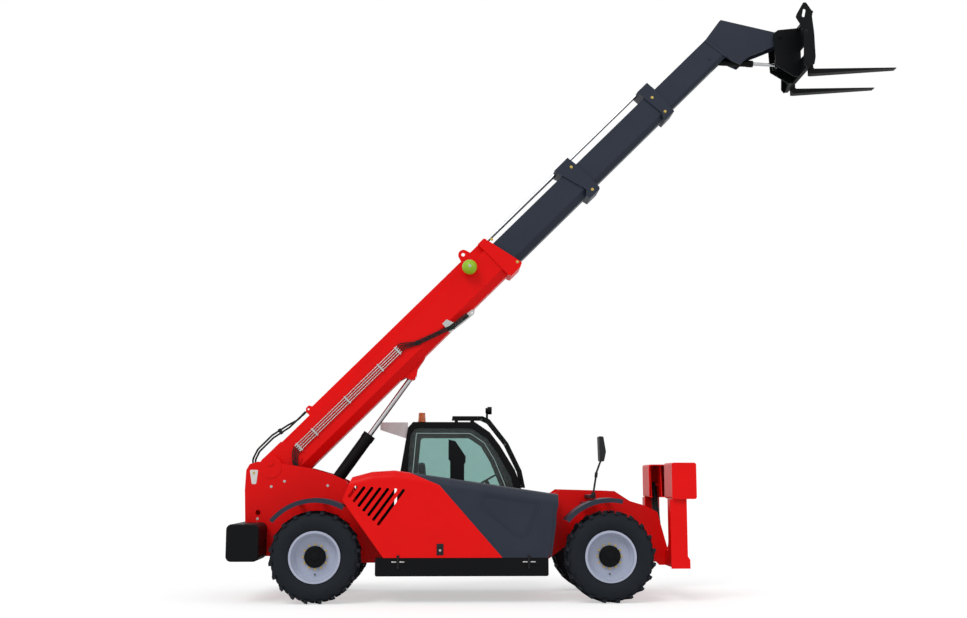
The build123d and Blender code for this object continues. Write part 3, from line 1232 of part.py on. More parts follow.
tilt_foot = boom_point(*TILT_FOOT)
write(cylinder_barrel(tilt_foot, TILT_EYE, TILT_ROD_D + 2 * ROD_FIT, TILT_BARREL_D, TILT_BARREL_L, 46, 80,
                      TILT_PIN_D, 4), "tilt_barrel")
write(cylinder_rod(tilt_foot, TILT_EYE, 350, TILT_ROD_D, 40, TILT_EYE_W, 0), "tilt_rod")

# ----------------------------------------------------------------- stabilisers
ARM_AHEAD = (4586.0, 4802.0)
ARM_LOW = 433.0
ARM_FLARE = 30.0             # forward, at the arm's lower end
ARM_WALL = 14.0
WELL_HALF = 68.0             # way for the cylinder through the foot box
RIB_T = 12.0
FOOT_AHEAD = (4604.0, 4925.0)
FOOT_UP = (1321.0, 1790.0)
FOOT_DEPTH = 550.0
FOOT_OUT = 1165.0
STAB_EYE_W = 60.0

for side_name, side in SIDES:
    outward = -1 if side > 0 else 1        # the side planes' normal points to the right
    with BuildPart() as arm:
        # outer web with a flared lower end, and a channel open toward the machine above the lugs
        with BuildSketch(side_plane(side * (STAB_HINGE_Y + 160))):
            Polygon((ARM_AHEAD[0], ARM_LOW), (ARM_AHEAD[0], 800), (ARM_AHEAD[1], 800), (ARM_AHEAD[1], 590),
                    (ARM_AHEAD[1] + ARM_FLARE, 545), (ARM_AHEAD[1] + ARM_FLARE, ARM_LOW), align=None)
        extrude(amount=-outward * ARM_WALL)
        arm_width = ARM_AHEAD[1] - ARM_AHEAD[0]
        with BuildSketch(level(STAB_HINGE_Z + 90)):
            with Locations(((ARM_AHEAD[0] + ARM_AHEAD[1]) / 2, side * (STAB_HINGE_Y + 60))):
                Rectangle(arm_width, 200)
            with Locations(((ARM_AHEAD[0] + ARM_AHEAD[1]) / 2, side * (STAB_HINGE_Y + 60 - ARM_WALL))):
                Rectangle(arm_width - 2 * ARM_WALL, 200, mode=Mode.SUBTRACT)
        extrude(amount=FOOT_UP[0] + 1 - STAB_HINGE_Z - 90)
        # foot box, open toward the machine, with two ribs that hold the cylinder's pin
        with BuildSketch(side_plane(side * FOOT_OUT)) as foot_face:
            with Locations(((FOOT_AHEAD[0] + FOOT_AHEAD[1]) / 2, (FOOT_UP[0] + FOOT_UP[1]) / 2)):
                RectangleRounded(FOOT_AHEAD[1] - FOOT_AHEAD[0], FOOT_UP[1] - FOOT_UP[0], 30)
        extrude(amount=-outward * FOOT_DEPTH)
        with BuildSketch(side_plane(side * (FOOT_OUT - ARM_WALL))):
            with Locations(((FOOT_AHEAD[0] + FOOT_AHEAD[1]) / 2, (FOOT_UP[0] + FOOT_UP[1]) / 2)):
                RectangleRounded(FOOT_AHEAD[1] - FOOT_AHEAD[0] - 2 * ARM_WALL,
                                 FOOT_UP[1] - FOOT_UP[0] - 2 * ARM_WALL, 18)
        extrude(amount=-outward * FOOT_DEPTH, mode=Mode.SUBTRACT)
        for end in (-1, 1):
            with BuildSketch(across(STAB_X + end * (WELL_HALF + RIB_T / 2))):
                Polygon((side * (FOOT_OUT - FOOT_DEPTH + 40), FOOT_UP[0] + 2), (side * (FOOT_OUT - 2), FOOT_UP[0] + 2),
                        (side * (FOOT_OUT - 2), FOOT_UP[1] - 2), (side * (FOOT_OUT - FOOT_DEPTH + 120), FOOT_UP[1] - 2),
                        align=None)
            extrude(amount=RIB_T / 2, both=True)
        with BuildSketch(level(FOOT_UP[0] - 1)):
            with Locations((STAB_X, side * (FOOT_OUT - FOOT_DEPTH / 2 - ARM_WALL / 2 - 10))):
                Rectangle(2 * WELL_HALF, FOOT_DEPTH - ARM_WALL - 20 + 40)
        extrude(amount=ARM_WALL + 4, mode=Mode.SUBTRACT)
        # hinge knuckle
        with BuildSketch(across(STAB_X)):
            with Locations((side * STAB_HINGE_Y, STAB_HINGE_Z)):
                Circle(44)
            Polygon((side * (STAB_HINGE_Y + 10), STAB_HINGE_Z - 43), (side * (STAB_HINGE_Y + 10), STAB_HINGE_Z + 43),
                    (side * (STAB_HINGE_Y + 155), STAB_HINGE_Z + 110),
                    (side * (STAB_HINGE_Y + 155), STAB_HINGE_Z - 10), align=None)
        extrude(amount=(STAB_BEAM[1] - STAB_BEAM[0]) / 2 - 20 - EYE_GAP, both=True)
        with BuildSketch(across(STAB_X)):
            with Locations((side * STAB_HINGE_Y, STAB_HINGE_Z)):
                Circle(STAB_PIN_D / 2 + PIN_FIT)
        extrude(amount=200, both=True, mode=Mode.SUBTRACT)
        # pin of the cylinder
        with BuildSketch(across(STAB_X)):
            with Locations((side * STAB_HINGE_Y, STAB_HINGE_Z + STAB_ARM)):
                Circle(22)
        extrude(amount=WELL_HALF + RIB_T - 1, both=True)
    write(arm, f"stabiliser_arm_{side_name}")
    pin_on_arm = machine_point(STAB_X, STAB_HINGE_Z + STAB_ARM, side * STAB_HINGE_Y)
    pin_on_frame = machine_point(STAB_X, STAB_LUG[1], side * STAB_LUG[0])
    axis = (pin_on_frame - pin_on_arm).normalized()
    reach = (pin_on_frame - pin_on_arm).length
    barrel_plane = Plane(origin=pin_on_arm, x_dir=(1, 0, 0), z_dir=axis)
    with BuildPart() as stab_barrel:
        with BuildSketch(barrel_plane.offset(30)):
            Circle(STAB_BARREL_D / 2)
        extrude(amount=STAB_BARREL_L - 30)
        with BuildSketch(across(STAB_X)):
            with Locations((side * STAB_HINGE_Y, STAB_HINGE_Z + STAB_ARM)):
                Circle(44)
        extrude(amount=STAB_EYE_W / 2, both=True)
        with BuildSketch(barrel_plane.offset(90)):
            Circle(STAB_ROD_D / 2 + ROD_FIT)
        extrude(amount=STAB_BARREL_L, mode=Mode.SUBTRACT)
        with BuildSketch(across(STAB_X)):
            with Locations((side * STAB_HINGE_Y, STAB_HINGE_Z + STAB_ARM)):
                Circle(22 + PIN_FIT)
        extrude(amount=100, both=True, mode=Mode.SUBTRACT)
    write(stab_barrel, f"stabiliser_barrel_{side_name}")
    with BuildPart() as stab_rod:
        with BuildSketch(barrel_plane.offset(100)):
            Circle(STAB_ROD_D / 2)
        extrude(amount=reach - 120)
        with BuildSketch(across(STAB_X)):
            with Locations((side * STAB_LUG[0], STAB_LUG[1])):
                Circle(40)
        extrude(amount=STAB_EYE_W / 2, both=True)
    write(stab_rod, f"stabiliser_rod_{side_name}")

# -------------------------------------------------- pipes, valve, accumulator
PIPE_D = 14.0
PIPES = (-60, -92, -124, -156)       # above the pivot line
PIPE_RUN = (400.0, 2295.0)           # along the boom
PIPE_Y = -(BASE_W / 2 + 22)

with BuildPart() as boom_pipes:
    with BuildSketch(across_boom(PIPE_RUN[0])):
        for above in PIPES:
            with Locations((PIPE_Y, above)):
                Circle(PIPE_D / 2)
    extrude(amount=PIPE_RUN[1] - PIPE_RUN[0])
    for along in (PIPE_RUN[0] + 14, 700, 1320, 1950, PIPE_RUN[1] - 14):
        with BuildSketch(boom_plane(-(BASE_W / 2 + FIT))):
            with Locations((along, (PIPES[0] + PIPES[-1]) / 2)):
                RectangleRounded(22, PIPES[0] - PIPES[-1] + 34, 6)
        extrude(amount=38)
    # bracket below the belly that carries the hoses' ends
    with BuildSketch(boom_plane(-(BASE_W / 2 + FIT))):
        Polygon((2990, -270), (3075, -270), (3120, -392), (3420, -420), (3448, -452), (3400, -486),
                (3190, -468), (2975, -440), align=None)
        with Locations((3390, -452)):
            Circle(12, mode=Mode.SUBTRACT)
    extrude(amount=6)
write(boom_pipes, "boom_pipes")

SIDE_HOSE_D = 14.0
TOWER_HOSE_D = 26.0
TOWER_HOSES = ((-60, [(-965, 1765), (-970, 1850), (-905, 1985), (-714, 2178), (-498, 2319)]),
               (-94, [(-925, 1765), (-930, 1840), (-876, 1955), (-690, 2143), (-475, 2284)]))
HOSE_EYE = (800.0, 190.0)            # where they meet the boom's eye, along and above

with BuildPart() as boom_hoses:
    for n, above in enumerate(PIPES):
        # from the pipes' front ends down to the bracket
        with BuildLine(boom_plane(PIPE_Y)) as route:
            FilletPolyline((PIPE_RUN[1] + FIT, above), (2375, above), (2540, -190 - 17 * n),
                           (3040, -372 - 17 * n), (3330, -404 - 17 * n), radius=60)
        with BuildSketch(Plane(origin=route.line @ 0, z_dir=route.line % 0)):
            Circle(SIDE_HOSE_D / 2)
        sweep(path=route.line)
        # from their rear ends down behind the main plate
        with BuildLine() as route:
            FilletPolyline(*(boom_point(*p) for p in (
                (PIPE_RUN[0] - FIT, above, PIPE_Y), (365, above, PIPE_Y), (300, above - 35, PIPE_Y - 30),
                (215, above - 130, PIPE_Y - 34), (150, above - 240, PIPE_Y - 34))), radius=28)
        with BuildSketch(Plane(origin=route.line @ 0, z_dir=route.line % 0)):
            Circle(SIDE_HOSE_D / 2)
        sweep(path=route.line)
    # clamps on the side hoses
    for along, above, low in ((2560, -198, 80), (3060, -378, 78)):
        with BuildSketch(boom_plane(-(BASE_W / 2 + (FIT if along < 3000 else 6 + 2 * FIT)))):
            with Locations((along, above - 26)):
                RectangleRounded(20, low, 6)
        extrude(amount=(30 if along < 3000 else 24))
    # drop hoses tied together at their rear ends
    with BuildSketch(boom_plane(PIPE_Y - 34 + 9)):
        Polygon((208, PIPES[0] - 118), (230, PIPES[0] - 132), (230, PIPES[-1] - 142), (208, PIPES[-1] - 128),
                align=None)
    extrude(amount=18)
write(boom_hoses, "boom_hoses")

with BuildPart() as tower_hoses:
    eye = boom_point(*HOSE_EYE)
    for y, points in TOWER_HOSES:
        start = Vector(eye.X, y, eye.Z)
        with BuildLine() as route:
            FilletPolyline(*(machine_point(ahead, up, y) for ahead, up in points),
                           start - BOOM_X * 160, start - BOOM_X * 40, radius=110)
        with BuildSketch(Plane(origin=route.line @ 0, z_dir=route.line % 0)):
            Circle(TOWER_HOSE_D / 2)
        sweep(path=route.line)
        with BuildSketch(Plane(origin=start - BOOM_X * 70, z_dir=BOOM_X)):
            Circle(TOWER_HOSE_D / 2 + 2.5)
        extrude(amount=70 - FIT)
    # clamp block across both hoses
    with BuildSketch(side_plane(-34)):
        with Locations(Location((-598, 2229, 0), (0, 0, 33))):
            Rectangle(40, 76)
    extrude(amount=86)
write(tower_hoses, "tower_hoses")

with BuildPart() as accumulator:
    centre = boom_point(3808, 18, -(BASE_W / 2 + 112))
    with Locations(centre):
        Sphere(104)
    with BuildSketch(boom_plane(-(BASE_W / 2 + FIT))):
        with Locations((3808, 18)):
            Circle(40)
    extrude(amount=40)
write(accumulator, "accumulator")
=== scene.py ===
"""Looks of the telehandler: paints, rubber, glass, the driver's seat, fasteners, light and camera.

Metres, +X forward, +Y to the machine's left, +Z up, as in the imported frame.
"""
import json
import math

import bmesh
import bpy
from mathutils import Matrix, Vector

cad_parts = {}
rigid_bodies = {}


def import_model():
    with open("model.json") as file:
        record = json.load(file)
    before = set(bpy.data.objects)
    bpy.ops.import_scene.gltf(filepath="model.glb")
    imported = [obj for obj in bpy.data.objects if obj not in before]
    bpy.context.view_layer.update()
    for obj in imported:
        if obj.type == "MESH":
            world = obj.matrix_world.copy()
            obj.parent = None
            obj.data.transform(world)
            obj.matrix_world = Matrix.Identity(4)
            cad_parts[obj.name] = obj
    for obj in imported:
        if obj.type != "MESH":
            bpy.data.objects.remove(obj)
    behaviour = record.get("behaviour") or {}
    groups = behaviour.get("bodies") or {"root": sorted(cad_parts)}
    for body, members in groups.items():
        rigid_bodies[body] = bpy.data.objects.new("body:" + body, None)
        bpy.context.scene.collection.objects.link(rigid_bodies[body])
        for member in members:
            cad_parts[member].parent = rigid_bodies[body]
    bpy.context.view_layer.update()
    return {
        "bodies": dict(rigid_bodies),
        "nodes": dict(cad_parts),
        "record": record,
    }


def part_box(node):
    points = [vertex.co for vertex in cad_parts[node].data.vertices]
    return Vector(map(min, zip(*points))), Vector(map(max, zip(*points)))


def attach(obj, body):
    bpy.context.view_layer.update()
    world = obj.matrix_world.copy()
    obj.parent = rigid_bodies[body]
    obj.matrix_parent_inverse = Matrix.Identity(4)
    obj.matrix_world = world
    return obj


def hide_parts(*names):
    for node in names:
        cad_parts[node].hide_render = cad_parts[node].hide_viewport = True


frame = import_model()
scene = bpy.context.scene
MM = 0.001
GLASS_IOR = 1.52            # soda-lime float glass


# ------------------------------------------------------------------- materials
def linear(hex_colour):
    """An sRGB hex colour as linear red, green, blue and full alpha."""
    parts = [int(hex_colour[i:i + 2], 16) / 255 for i in (0, 2, 4)]
    return [p / 12.92 if p <= 0.04045 else ((p + 0.055) / 1.055) ** 2.4 for p in parts] + [1.0]


def add(tree, kind, settings=None, **inputs):
    """One node: settings are its properties, inputs are values or other nodes' sockets."""
    node = tree.nodes.new(kind)
    for name, value in (settings or {}).items():
        setattr(node, name, value)
    for name, value in inputs.items():
        key = int(name[1:]) if name[0] == "i" and name[1:].isdigit() else name.replace("_", " ")
        socket = node.inputs[key]
        if isinstance(value, bpy.types.NodeSocket):
            tree.links.new(value, socket)
        else:
            socket.default_value = value
    return node


def new_material(name):
    """An empty material with its shader and its object coordinates."""
    material = bpy.data.materials.new(name)
    material.use_nodes = True
    tree = material.node_tree
    tree.nodes.clear()
    shader = add(tree, "ShaderNodeBsdfPrincipled")
    add(tree, "ShaderNodeOutputMaterial", Surface=shader.outputs[0])
    place = add(tree, "ShaderNodeTexCoord").outputs["Object"]
    return material, tree, shader, place


def spread(tree, value, low, high):
    """A 0 to 1 value turned into the range from low to high."""
    return add(tree, "ShaderNodeMapRange", None, Value=value, To_Min=low, To_Max=high).outputs[0]


def noise(tree, place, size_mm, detail=3.0, rough=0.55):
    """Noise whose blotches are about size_mm across."""
    return add(tree, "ShaderNodeTexNoise", None, Vector=place, Scale=1000 / size_mm, Detail=detail,
               Roughness=rough).outputs[0]


def bumped(tree, shader, height, depth_mm, strength=1.0):
    """Raises the surface by height, depth_mm from lowest to highest."""
    bump = add(tree, "ShaderNodeBump", None, Height=height, Distance=depth_mm * MM, Strength=strength)
    tree.links.new(bump.outputs[0], shader.inputs["Normal"])


def sprayed_steel(name, colour, shade, roughness, dust, gloss):
    """Two-pack paint sprayed on steel plate: slight orange peel, faint dust on faces that look up."""
    material, tree, shader, place = new_material(name)
    cloud = noise(tree, place, 420)
    base = add(tree, "ShaderNodeMix", {"data_type": "RGBA"}, Factor=spread(tree, cloud, 0.0, 1.0),
               i6=linear(colour), i7=linear(shade)).outputs[2]
    normal = add(tree, "ShaderNodeNewGeometry").outputs["Normal"]
    upward = add(tree, "ShaderNodeSeparateXYZ", None, Vector=normal).outputs[2]
    settled = add(tree, "ShaderNodeMath", {"operation": "MULTIPLY"}, i0=upward,
                  i1=noise(tree, place, 60, 6.0, 0.7)).outputs[0]
    amount = add(tree, "ShaderNodeMapRange", None, Value=settled, From_Min=0.15, From_Max=0.8, To_Min=0.0,
                 To_Max=dust).outputs[0]
    dusty = add(tree, "ShaderNodeMix", {"data_type": "RGBA"}, Factor=amount, i6=base,
                i7=linear("8d8880")).outputs[2]
    tree.links.new(dusty, shader.inputs["Base Color"])
    tree.links.new(spread(tree, noise(tree, place, 35, 5.0), roughness - 0.05, roughness + 0.09),
                   shader.inputs["Roughness"])
    shader.inputs["Specular IOR Level"].default_value = gloss
    # real orange peel is 3 mm across: drawn at 14 mm so that it still shows from across a yard
    bumped(tree, shader, noise(tree, place, 14, 2.0), 0.25, 0.35)
    return material


def bare_metal(name, colour, roughness, streak_mm):
    """Machined or plated metal: fine turning streaks across the part."""
    material, tree, shader, place = new_material(name)
    along = add(tree, "ShaderNodeMapping", None, Vector=place, Scale=(1.0, 8.0, 1.0)).outputs[0]
    lines = noise(tree, along, streak_mm, 4.0)
    base = add(tree, "ShaderNodeMix", {"data_type": "RGBA"}, Factor=spread(tree, lines, 0.0, 0.35),
               i6=linear(colour), i7=linear("5d5e60")).outputs[2]
    tree.links.new(base, shader.inputs["Base Color"])
    tree.links.new(spread(tree, lines, roughness - 0.04, roughness + 0.08), shader.inputs["Roughness"])
    shader.inputs["Metallic"].default_value = 1.0
    bumped(tree, shader, lines, 0.05, 0.3)
    return material


def moulded_plastic(name, colour, roughness, grain_mm):
    """Injection-moulded plastic with an even spark-eroded grain."""
    material, tree, shader, place = new_material(name)
    grain = add(tree, "ShaderNodeTexVoronoi", None, Vector=place, Scale=1000 / grain_mm).outputs["Distance"]
    base = add(tree, "ShaderNodeMix", {"data_type": "RGBA"}, Factor=noise(tree, place, 90),
               i6=linear(colour), i7=linear("4a4b4d")).outputs[2]
    thin = add(tree, "ShaderNodeMix", {"data_type": "RGBA"}, Factor=0.12, i6=linear(colour),
               i7=base).outputs[2]
    tree.links.new(thin, shader.inputs["Base Color"])
    shader.inputs["Roughness"].default_value = roughness
    shader.inputs["IOR"].default_value = 1.49
    shader.inputs["Specular IOR Level"].default_value = 0.2
    bumped(tree, shader, grain, 0.3, 0.4)
    return material


def tyre_rubber():
    """Carbon-filled rubber from a steel mould: matte, with pale dust rubbed into tread and sidewall."""
    material, tree, shader, place = new_material("moulded_tyre_rubber")
    dirt = noise(tree, place, 70, 8.0, 0.65)
    base = add(tree, "ShaderNodeMix", {"data_type": "RGBA"}, Factor=spread(tree, dirt, 0.0, 0.75),
               i6=linear("12161b"), i7=linear("272c34")).outputs[2]
    tree.links.new(base, shader.inputs["Base Color"])
    shader.inputs["Specular IOR Level"].default_value = 0.15
    tree.links.new(spread(tree, dirt, 0.62, 0.85), shader.inputs["Roughness"])
    shader.inputs["IOR"].default_value = 1.52
    bumped(tree, shader, noise(tree, place, 9, 5.0), 0.8, 0.5)
    return material


def tinted_glass(name, colour):
    """Green-tinted safety glass, float made and polished: clear with a soft reflection."""
    material, tree, shader, place = new_material(name)
    shader.inputs["Base Color"].default_value = linear(colour)
    shader.inputs["Roughness"].default_value = 0.02
    shader.inputs["IOR"].default_value = GLASS_IOR
    clear = add(tree, "ShaderNodeBsdfTransparent", None, Color=linear(colour)).outputs[0]
    facing = add(tree, "ShaderNodeFresnel", None, IOR=GLASS_IOR).outputs[0]
    smear = spread(tree, noise(tree, place, 180, 6.0), 0.0, 0.05)
    share = add(tree, "ShaderNodeMath", {"operation": "ADD", "use_clamp": True}, i0=facing,
                i1=smear).outputs[0]
    mix = add(tree, "ShaderNodeMixShader", None, Fac=share, i1=clear, i2=shader.outputs[0])
    tree.links.new(mix.outputs[0], tree.nodes["Material Output"].inputs["Surface"])
    return material


def bands(tree, place, direction, scale):
    """Even bands across one direction, 0.314 / scale metres apart."""
    return add(tree, "ShaderNodeTexWave", {"bands_direction": direction}, Vector=place,
               Scale=scale).outputs[1]


def amber_lens():
    """Amber polycarbonate, moulded with fine upright ribs that scatter the lamp's light."""
    material, tree, shader, place = new_material("moulded_amber_polycarbonate")
    ribs = bands(tree, place, "X", 1000 / 14)
    shader.inputs["Base Color"].default_value = linear("f07a12")
    shader.inputs["Roughness"].default_value = 0.18
    shader.inputs["IOR"].default_value = 1.58
    shader.inputs["Transmission Weight"].default_value = 0.25
    shader.inputs["Subsurface Weight"].default_value = 0.3
    bumped(tree, shader, ribs, 1.0, 0.6)
    return material


def seat_cloth():
    """Flat-woven polyester seat cloth: its threads lie 1.2 mm apart, drawn 3.8 mm apart so that they show."""
    material, tree, shader, place = new_material("woven_seat_polyester")
    warp, weft = (bands(tree, place, direction, 1000 / 12) for direction in "XZ")
    weave = add(tree, "ShaderNodeMath", {"operation": "MULTIPLY"}, i0=warp, i1=weft).outputs[0]
    base = add(tree, "ShaderNodeMix", {"data_type": "RGBA"}, Factor=weave, i6=linear("26282b"),
               i7=linear("44474c")).outputs[2]
    tree.links.new(base, shader.inputs["Base Color"])
    shader.inputs["Roughness"].default_value = 0.9
    shader.inputs["Sheen Weight"].default_value = 0.3
    bumped(tree, shader, weave, 0.6, 0.7)
    return material


RED = sprayed_steel("sprayed_red_steel", "f2100f", "e30c0d", 0.34, 0.05, 0.12)
SLATE = sprayed_steel("sprayed_slate_blue_steel", "2f3644", "262c38", 0.42, 0.08, 0.18)
BLACK = sprayed_steel("sprayed_black_steel", "0f1012", "0a0b0d", 0.46, 0.04, 0.10)
SILVER = sprayed_steel("sprayed_silver_wheel_steel", "b9c0d4", "a6adc1", 0.40, 0.06, 0.3)
LIME = sprayed_steel("sprayed_lime_accumulator", "a6d02c", "8fba20", 0.32, 0.05, 0.3)
IRON = sprayed_steel("painted_cast_iron", "2c2d2f", "1f2021", 0.60, 0.15, 0.1)
CHROME = bare_metal("hard_chromed_rod", "d4d5d8", 0.16, 40)
ZINC = bare_metal("zinc_plated_steel", "c3c4c2", 0.34, 12)
YELLOW_ZINC = bare_metal("yellow_passivated_zinc", "d2b75c", 0.38, 12)
HOSE = moulded_plastic("extruded_hose_rubber", "141517", 0.60, 5)
WHITE_PLATE = moulded_plastic("printed_white_vinyl", "e6e6e2", 0.45, 9)
BLACK_PLASTIC = moulded_plastic("moulded_black_abs", "1c1d1f", 0.55, 6)
PALE_PLASTIC = moulded_plastic("moulded_pale_polycarbonate", "f2f2f4", 0.40, 6)
RUBBER = tyre_rubber()
GLASS = tinted_glass("green_tinted_float_glass", "dae9e7")
AMBER = amber_lens()
CLOTH = seat_cloth()

FINISH = {"red_paint": RED, "black_paint": BLACK, "blue_grey_paint": SLATE, "silver_paint": SILVER,
          "lime_paint": LIME, "cast_iron": IRON, "black_plastic": BLACK_PLASTIC,
          "light_plastic": PALE_PLASTIC,
          "amber_lens": AMBER, "tinted_glass": GLASS, "seat_cover": CLOTH, "chrome_rod": CHROME,
          "zinc_steel": ZINC, "tyre_rubber": RUBBER, "hose_rubber": HOSE}
SLOT_OF = {part["node"]: part["material_slot"] for part in frame["record"]["subparts"]}
for node_name, solid in frame["nodes"].items():
    solid.data.materials.clear()
    solid.data.materials.append(FINISH[SLOT_OF[node_name]])


# ----------------------------------------------------------------------- pieces
def ride_on(name, mesh, body):
    """An object for a finished mesh, at the origin, riding on a body."""
    made = bpy.data.objects.new(name, mesh)
    scene.collection.objects.link(made)
    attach(made, body)
    return made


def piece(name, mesh_maker, finish, body):
    """A new mesh piece with its place in its mesh, riding on a body."""
    work = bmesh.new()
    mesh_maker(work)
    bmesh.ops.recalc_face_normals(work, faces=work.faces)
    mesh = bpy.data.meshes.new(name)
    work.to_mesh(mesh)
    work.free()
    mesh.materials.append(finish)
    return ride_on(name, mesh, body)


def smooth(made, angle=40):
    """Smooth shading with sharp edges kept."""
    for face in made.data.polygons:
        face.use_smooth = True
    made.data.set_sharp_from_angle(angle=math.radians(angle))


def lathe(work, profile, centre, facing, steps=48):
    """A closed turned form: pairs of radius and distance along facing, from axis to axis."""
    turn = Vector((0, 0, 1)).rotation_difference(Vector(facing)).to_matrix()
    rings = []
    for radius, out in profile:
        count = steps if radius > 0 else 1
        rings.append([work.verts.new(Vector(centre) + turn @ Vector((
            radius * math.cos(math.tau * n / steps), radius * math.sin(math.tau * n / steps), out)))
            for n in range(count)])
    for inner, outer in zip(rings, rings[1:]):
        for n in range(steps):
            m = (n + 1) % steps
            corners = (inner[n % len(inner)], inner[m % len(inner)],
                       outer[m % len(outer)], outer[n % len(outer)])
            work.faces.new(list(dict.fromkeys(corners)))


def slab(work, centre, size, edge):
    """A block with rounded edges."""
    block = bmesh.new()
    bmesh.ops.create_cube(block, size=1.0)
    bmesh.ops.scale(block, vec=size, verts=block.verts)
    bmesh.ops.bevel(block, geom=block.edges, offset=edge, segments=3, affect="EDGES", profile=0.5)
    bmesh.ops.translate(block, vec=centre, verts=block.verts)
    held = bpy.data.meshes.new("block")
    block.to_mesh(held)
    block.free()
    work.from_mesh(held)
    bpy.data.meshes.remove(held)


def fastener_tree():
    """Geometry Nodes: a washer and a head with any number of sides on each point, facing one way."""
    tree = bpy.data.node_groups.new("heads_on_points", "GeometryNodeTree")
    for name, kind, value in (
            ("Points", "NodeSocketGeometry", None),
            ("Head radius", "NodeSocketFloat", 0.012),
            ("Head height", "NodeSocketFloat", 0.01),
            ("Sides", "NodeSocketInt", 6),
            ("Facing", "NodeSocketVector", (0, -1, 0)),
            ("Finish", "NodeSocketMaterial", None)):
        made = tree.interface.new_socket(name=name, in_out="INPUT", socket_type=kind)
        if value is not None:
            made.default_value = value
    tree.interface.new_socket(name="Heads", in_out="OUTPUT", socket_type="NodeSocketGeometry")
    given = add(tree, "NodeGroupInput").outputs

    def times(value, factor):
        return add(tree, "ShaderNodeMath", {"operation": "MULTIPLY"}, i0=value, i1=factor).outputs[0]

    def turned(sides, radius, depth, lift):
        shape = add(tree, "GeometryNodeMeshCylinder", None, Vertices=sides, Radius=radius,
                    Depth=depth).outputs[0]
        up = add(tree, "ShaderNodeCombineXYZ", None, Z=lift).outputs[0]
        return add(tree, "GeometryNodeTransform", None, Geometry=shape, Translation=up).outputs[0]

    washer = turned(20, times(given["Head radius"], 1.5), times(given["Head height"], 0.2),
                    times(given["Head height"], 0.1))
    head = turned(given["Sides"], given["Head radius"], times(given["Head height"], 0.8),
                  times(given["Head height"], 0.6))
    both = add(tree, "GeometryNodeJoinGeometry")
    tree.links.new(washer, both.inputs[0])
    tree.links.new(head, both.inputs[0])
    facing = add(tree, "FunctionNodeAlignRotationToVector", {"axis": "Z"}, Vector=given["Facing"]).outputs[0]
    placed = add(tree, "GeometryNodeInstanceOnPoints", None, Points=given["Points"], Instance=both.outputs[0],
                 Rotation=facing).outputs[0]
    real = add(tree, "GeometryNodeRealizeInstances", None, Geometry=placed).outputs[0]
    coated = add(tree, "GeometryNodeSetMaterial", None, Geometry=real, Material=given["Finish"]).outputs[0]
    add(tree, "NodeGroupOutput", None, Heads=coated)
    return tree


HEADS = fastener_tree()
HEAD_INPUT = {item.name: item.identifier for item in HEADS.interface.items_tree if item.in_out == "INPUT"}


def heads(name, points, facing, radius, height, finish, body, sides=6):
    """Bolt, screw or rivet heads on points, as one plain mesh on one body."""
    marks = bpy.data.meshes.new(name + "_marks")
    marks.from_pydata([tuple(point) for point in points], [], [])
    seed = bpy.data.objects.new(name + "_marks", marks)
    scene.collection.objects.link(seed)
    maker = seed.modifiers.new("heads", "NODES")
    maker.node_group = HEADS
    for key, value in (("Head radius", radius), ("Head height", height), ("Sides", sides),
                       ("Facing", tuple(float(c) for c in facing)), ("Finish", finish)):
        maker[HEAD_INPUT[key]] = value
    mesh = bpy.data.meshes.new_from_object(seed.evaluated_get(bpy.context.evaluated_depsgraph_get()))
    mesh.name = name
    bpy.data.objects.remove(seed)
    bpy.data.meshes.remove(marks)
    return ride_on(name, mesh, body)


joints = {joint["name"]: joint for joint in frame["record"]["behaviour"]["joints"]}
RIGHT, LEFT = (0, -1, 0), (0, 1, 0)


def middle(node):
    """The centre of a node's box."""
    low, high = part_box(node)
    return (low + high) / 2


REAR_AXLE = middle("rim_rear_right").x


def on_machine(ahead, y, up):
    """A point by its distance ahead of the rear axle."""
    return Vector((REAR_AXLE + ahead, y, up))


PIVOT = Vector(joints["boom_lift"]["pos_m"])
BOOM_AXIS = Vector(joints["telescope_1"]["axis"])


def on_boom(along, above, y):
    """A point by its distance along and above the line through the boom's pivot."""
    return PIVOT + BOOM_AXIS * along + Vector((-BOOM_AXIS.z, 0, BOOM_AXIS.x)) * above + Vector((0, y, 0))


# ------------------------------------------------------------------ wheel hubs
DISC_FACE = 0.034            # wheel disc's outer face, from the wheel's middle plane
BOLTS, BOLT_CIRCLE = 12, 0.157
SCREWS, SCREW_CIRCLE = 6, 0.082
COVER_FACE = 0.1025          # the flat that the cover's screws sit on
VALVE_DROP = 0.225           # from the wheel's axis down to its valve
SUNK = DISC_FACE - 0.004     # the cover starts a little inside the disc
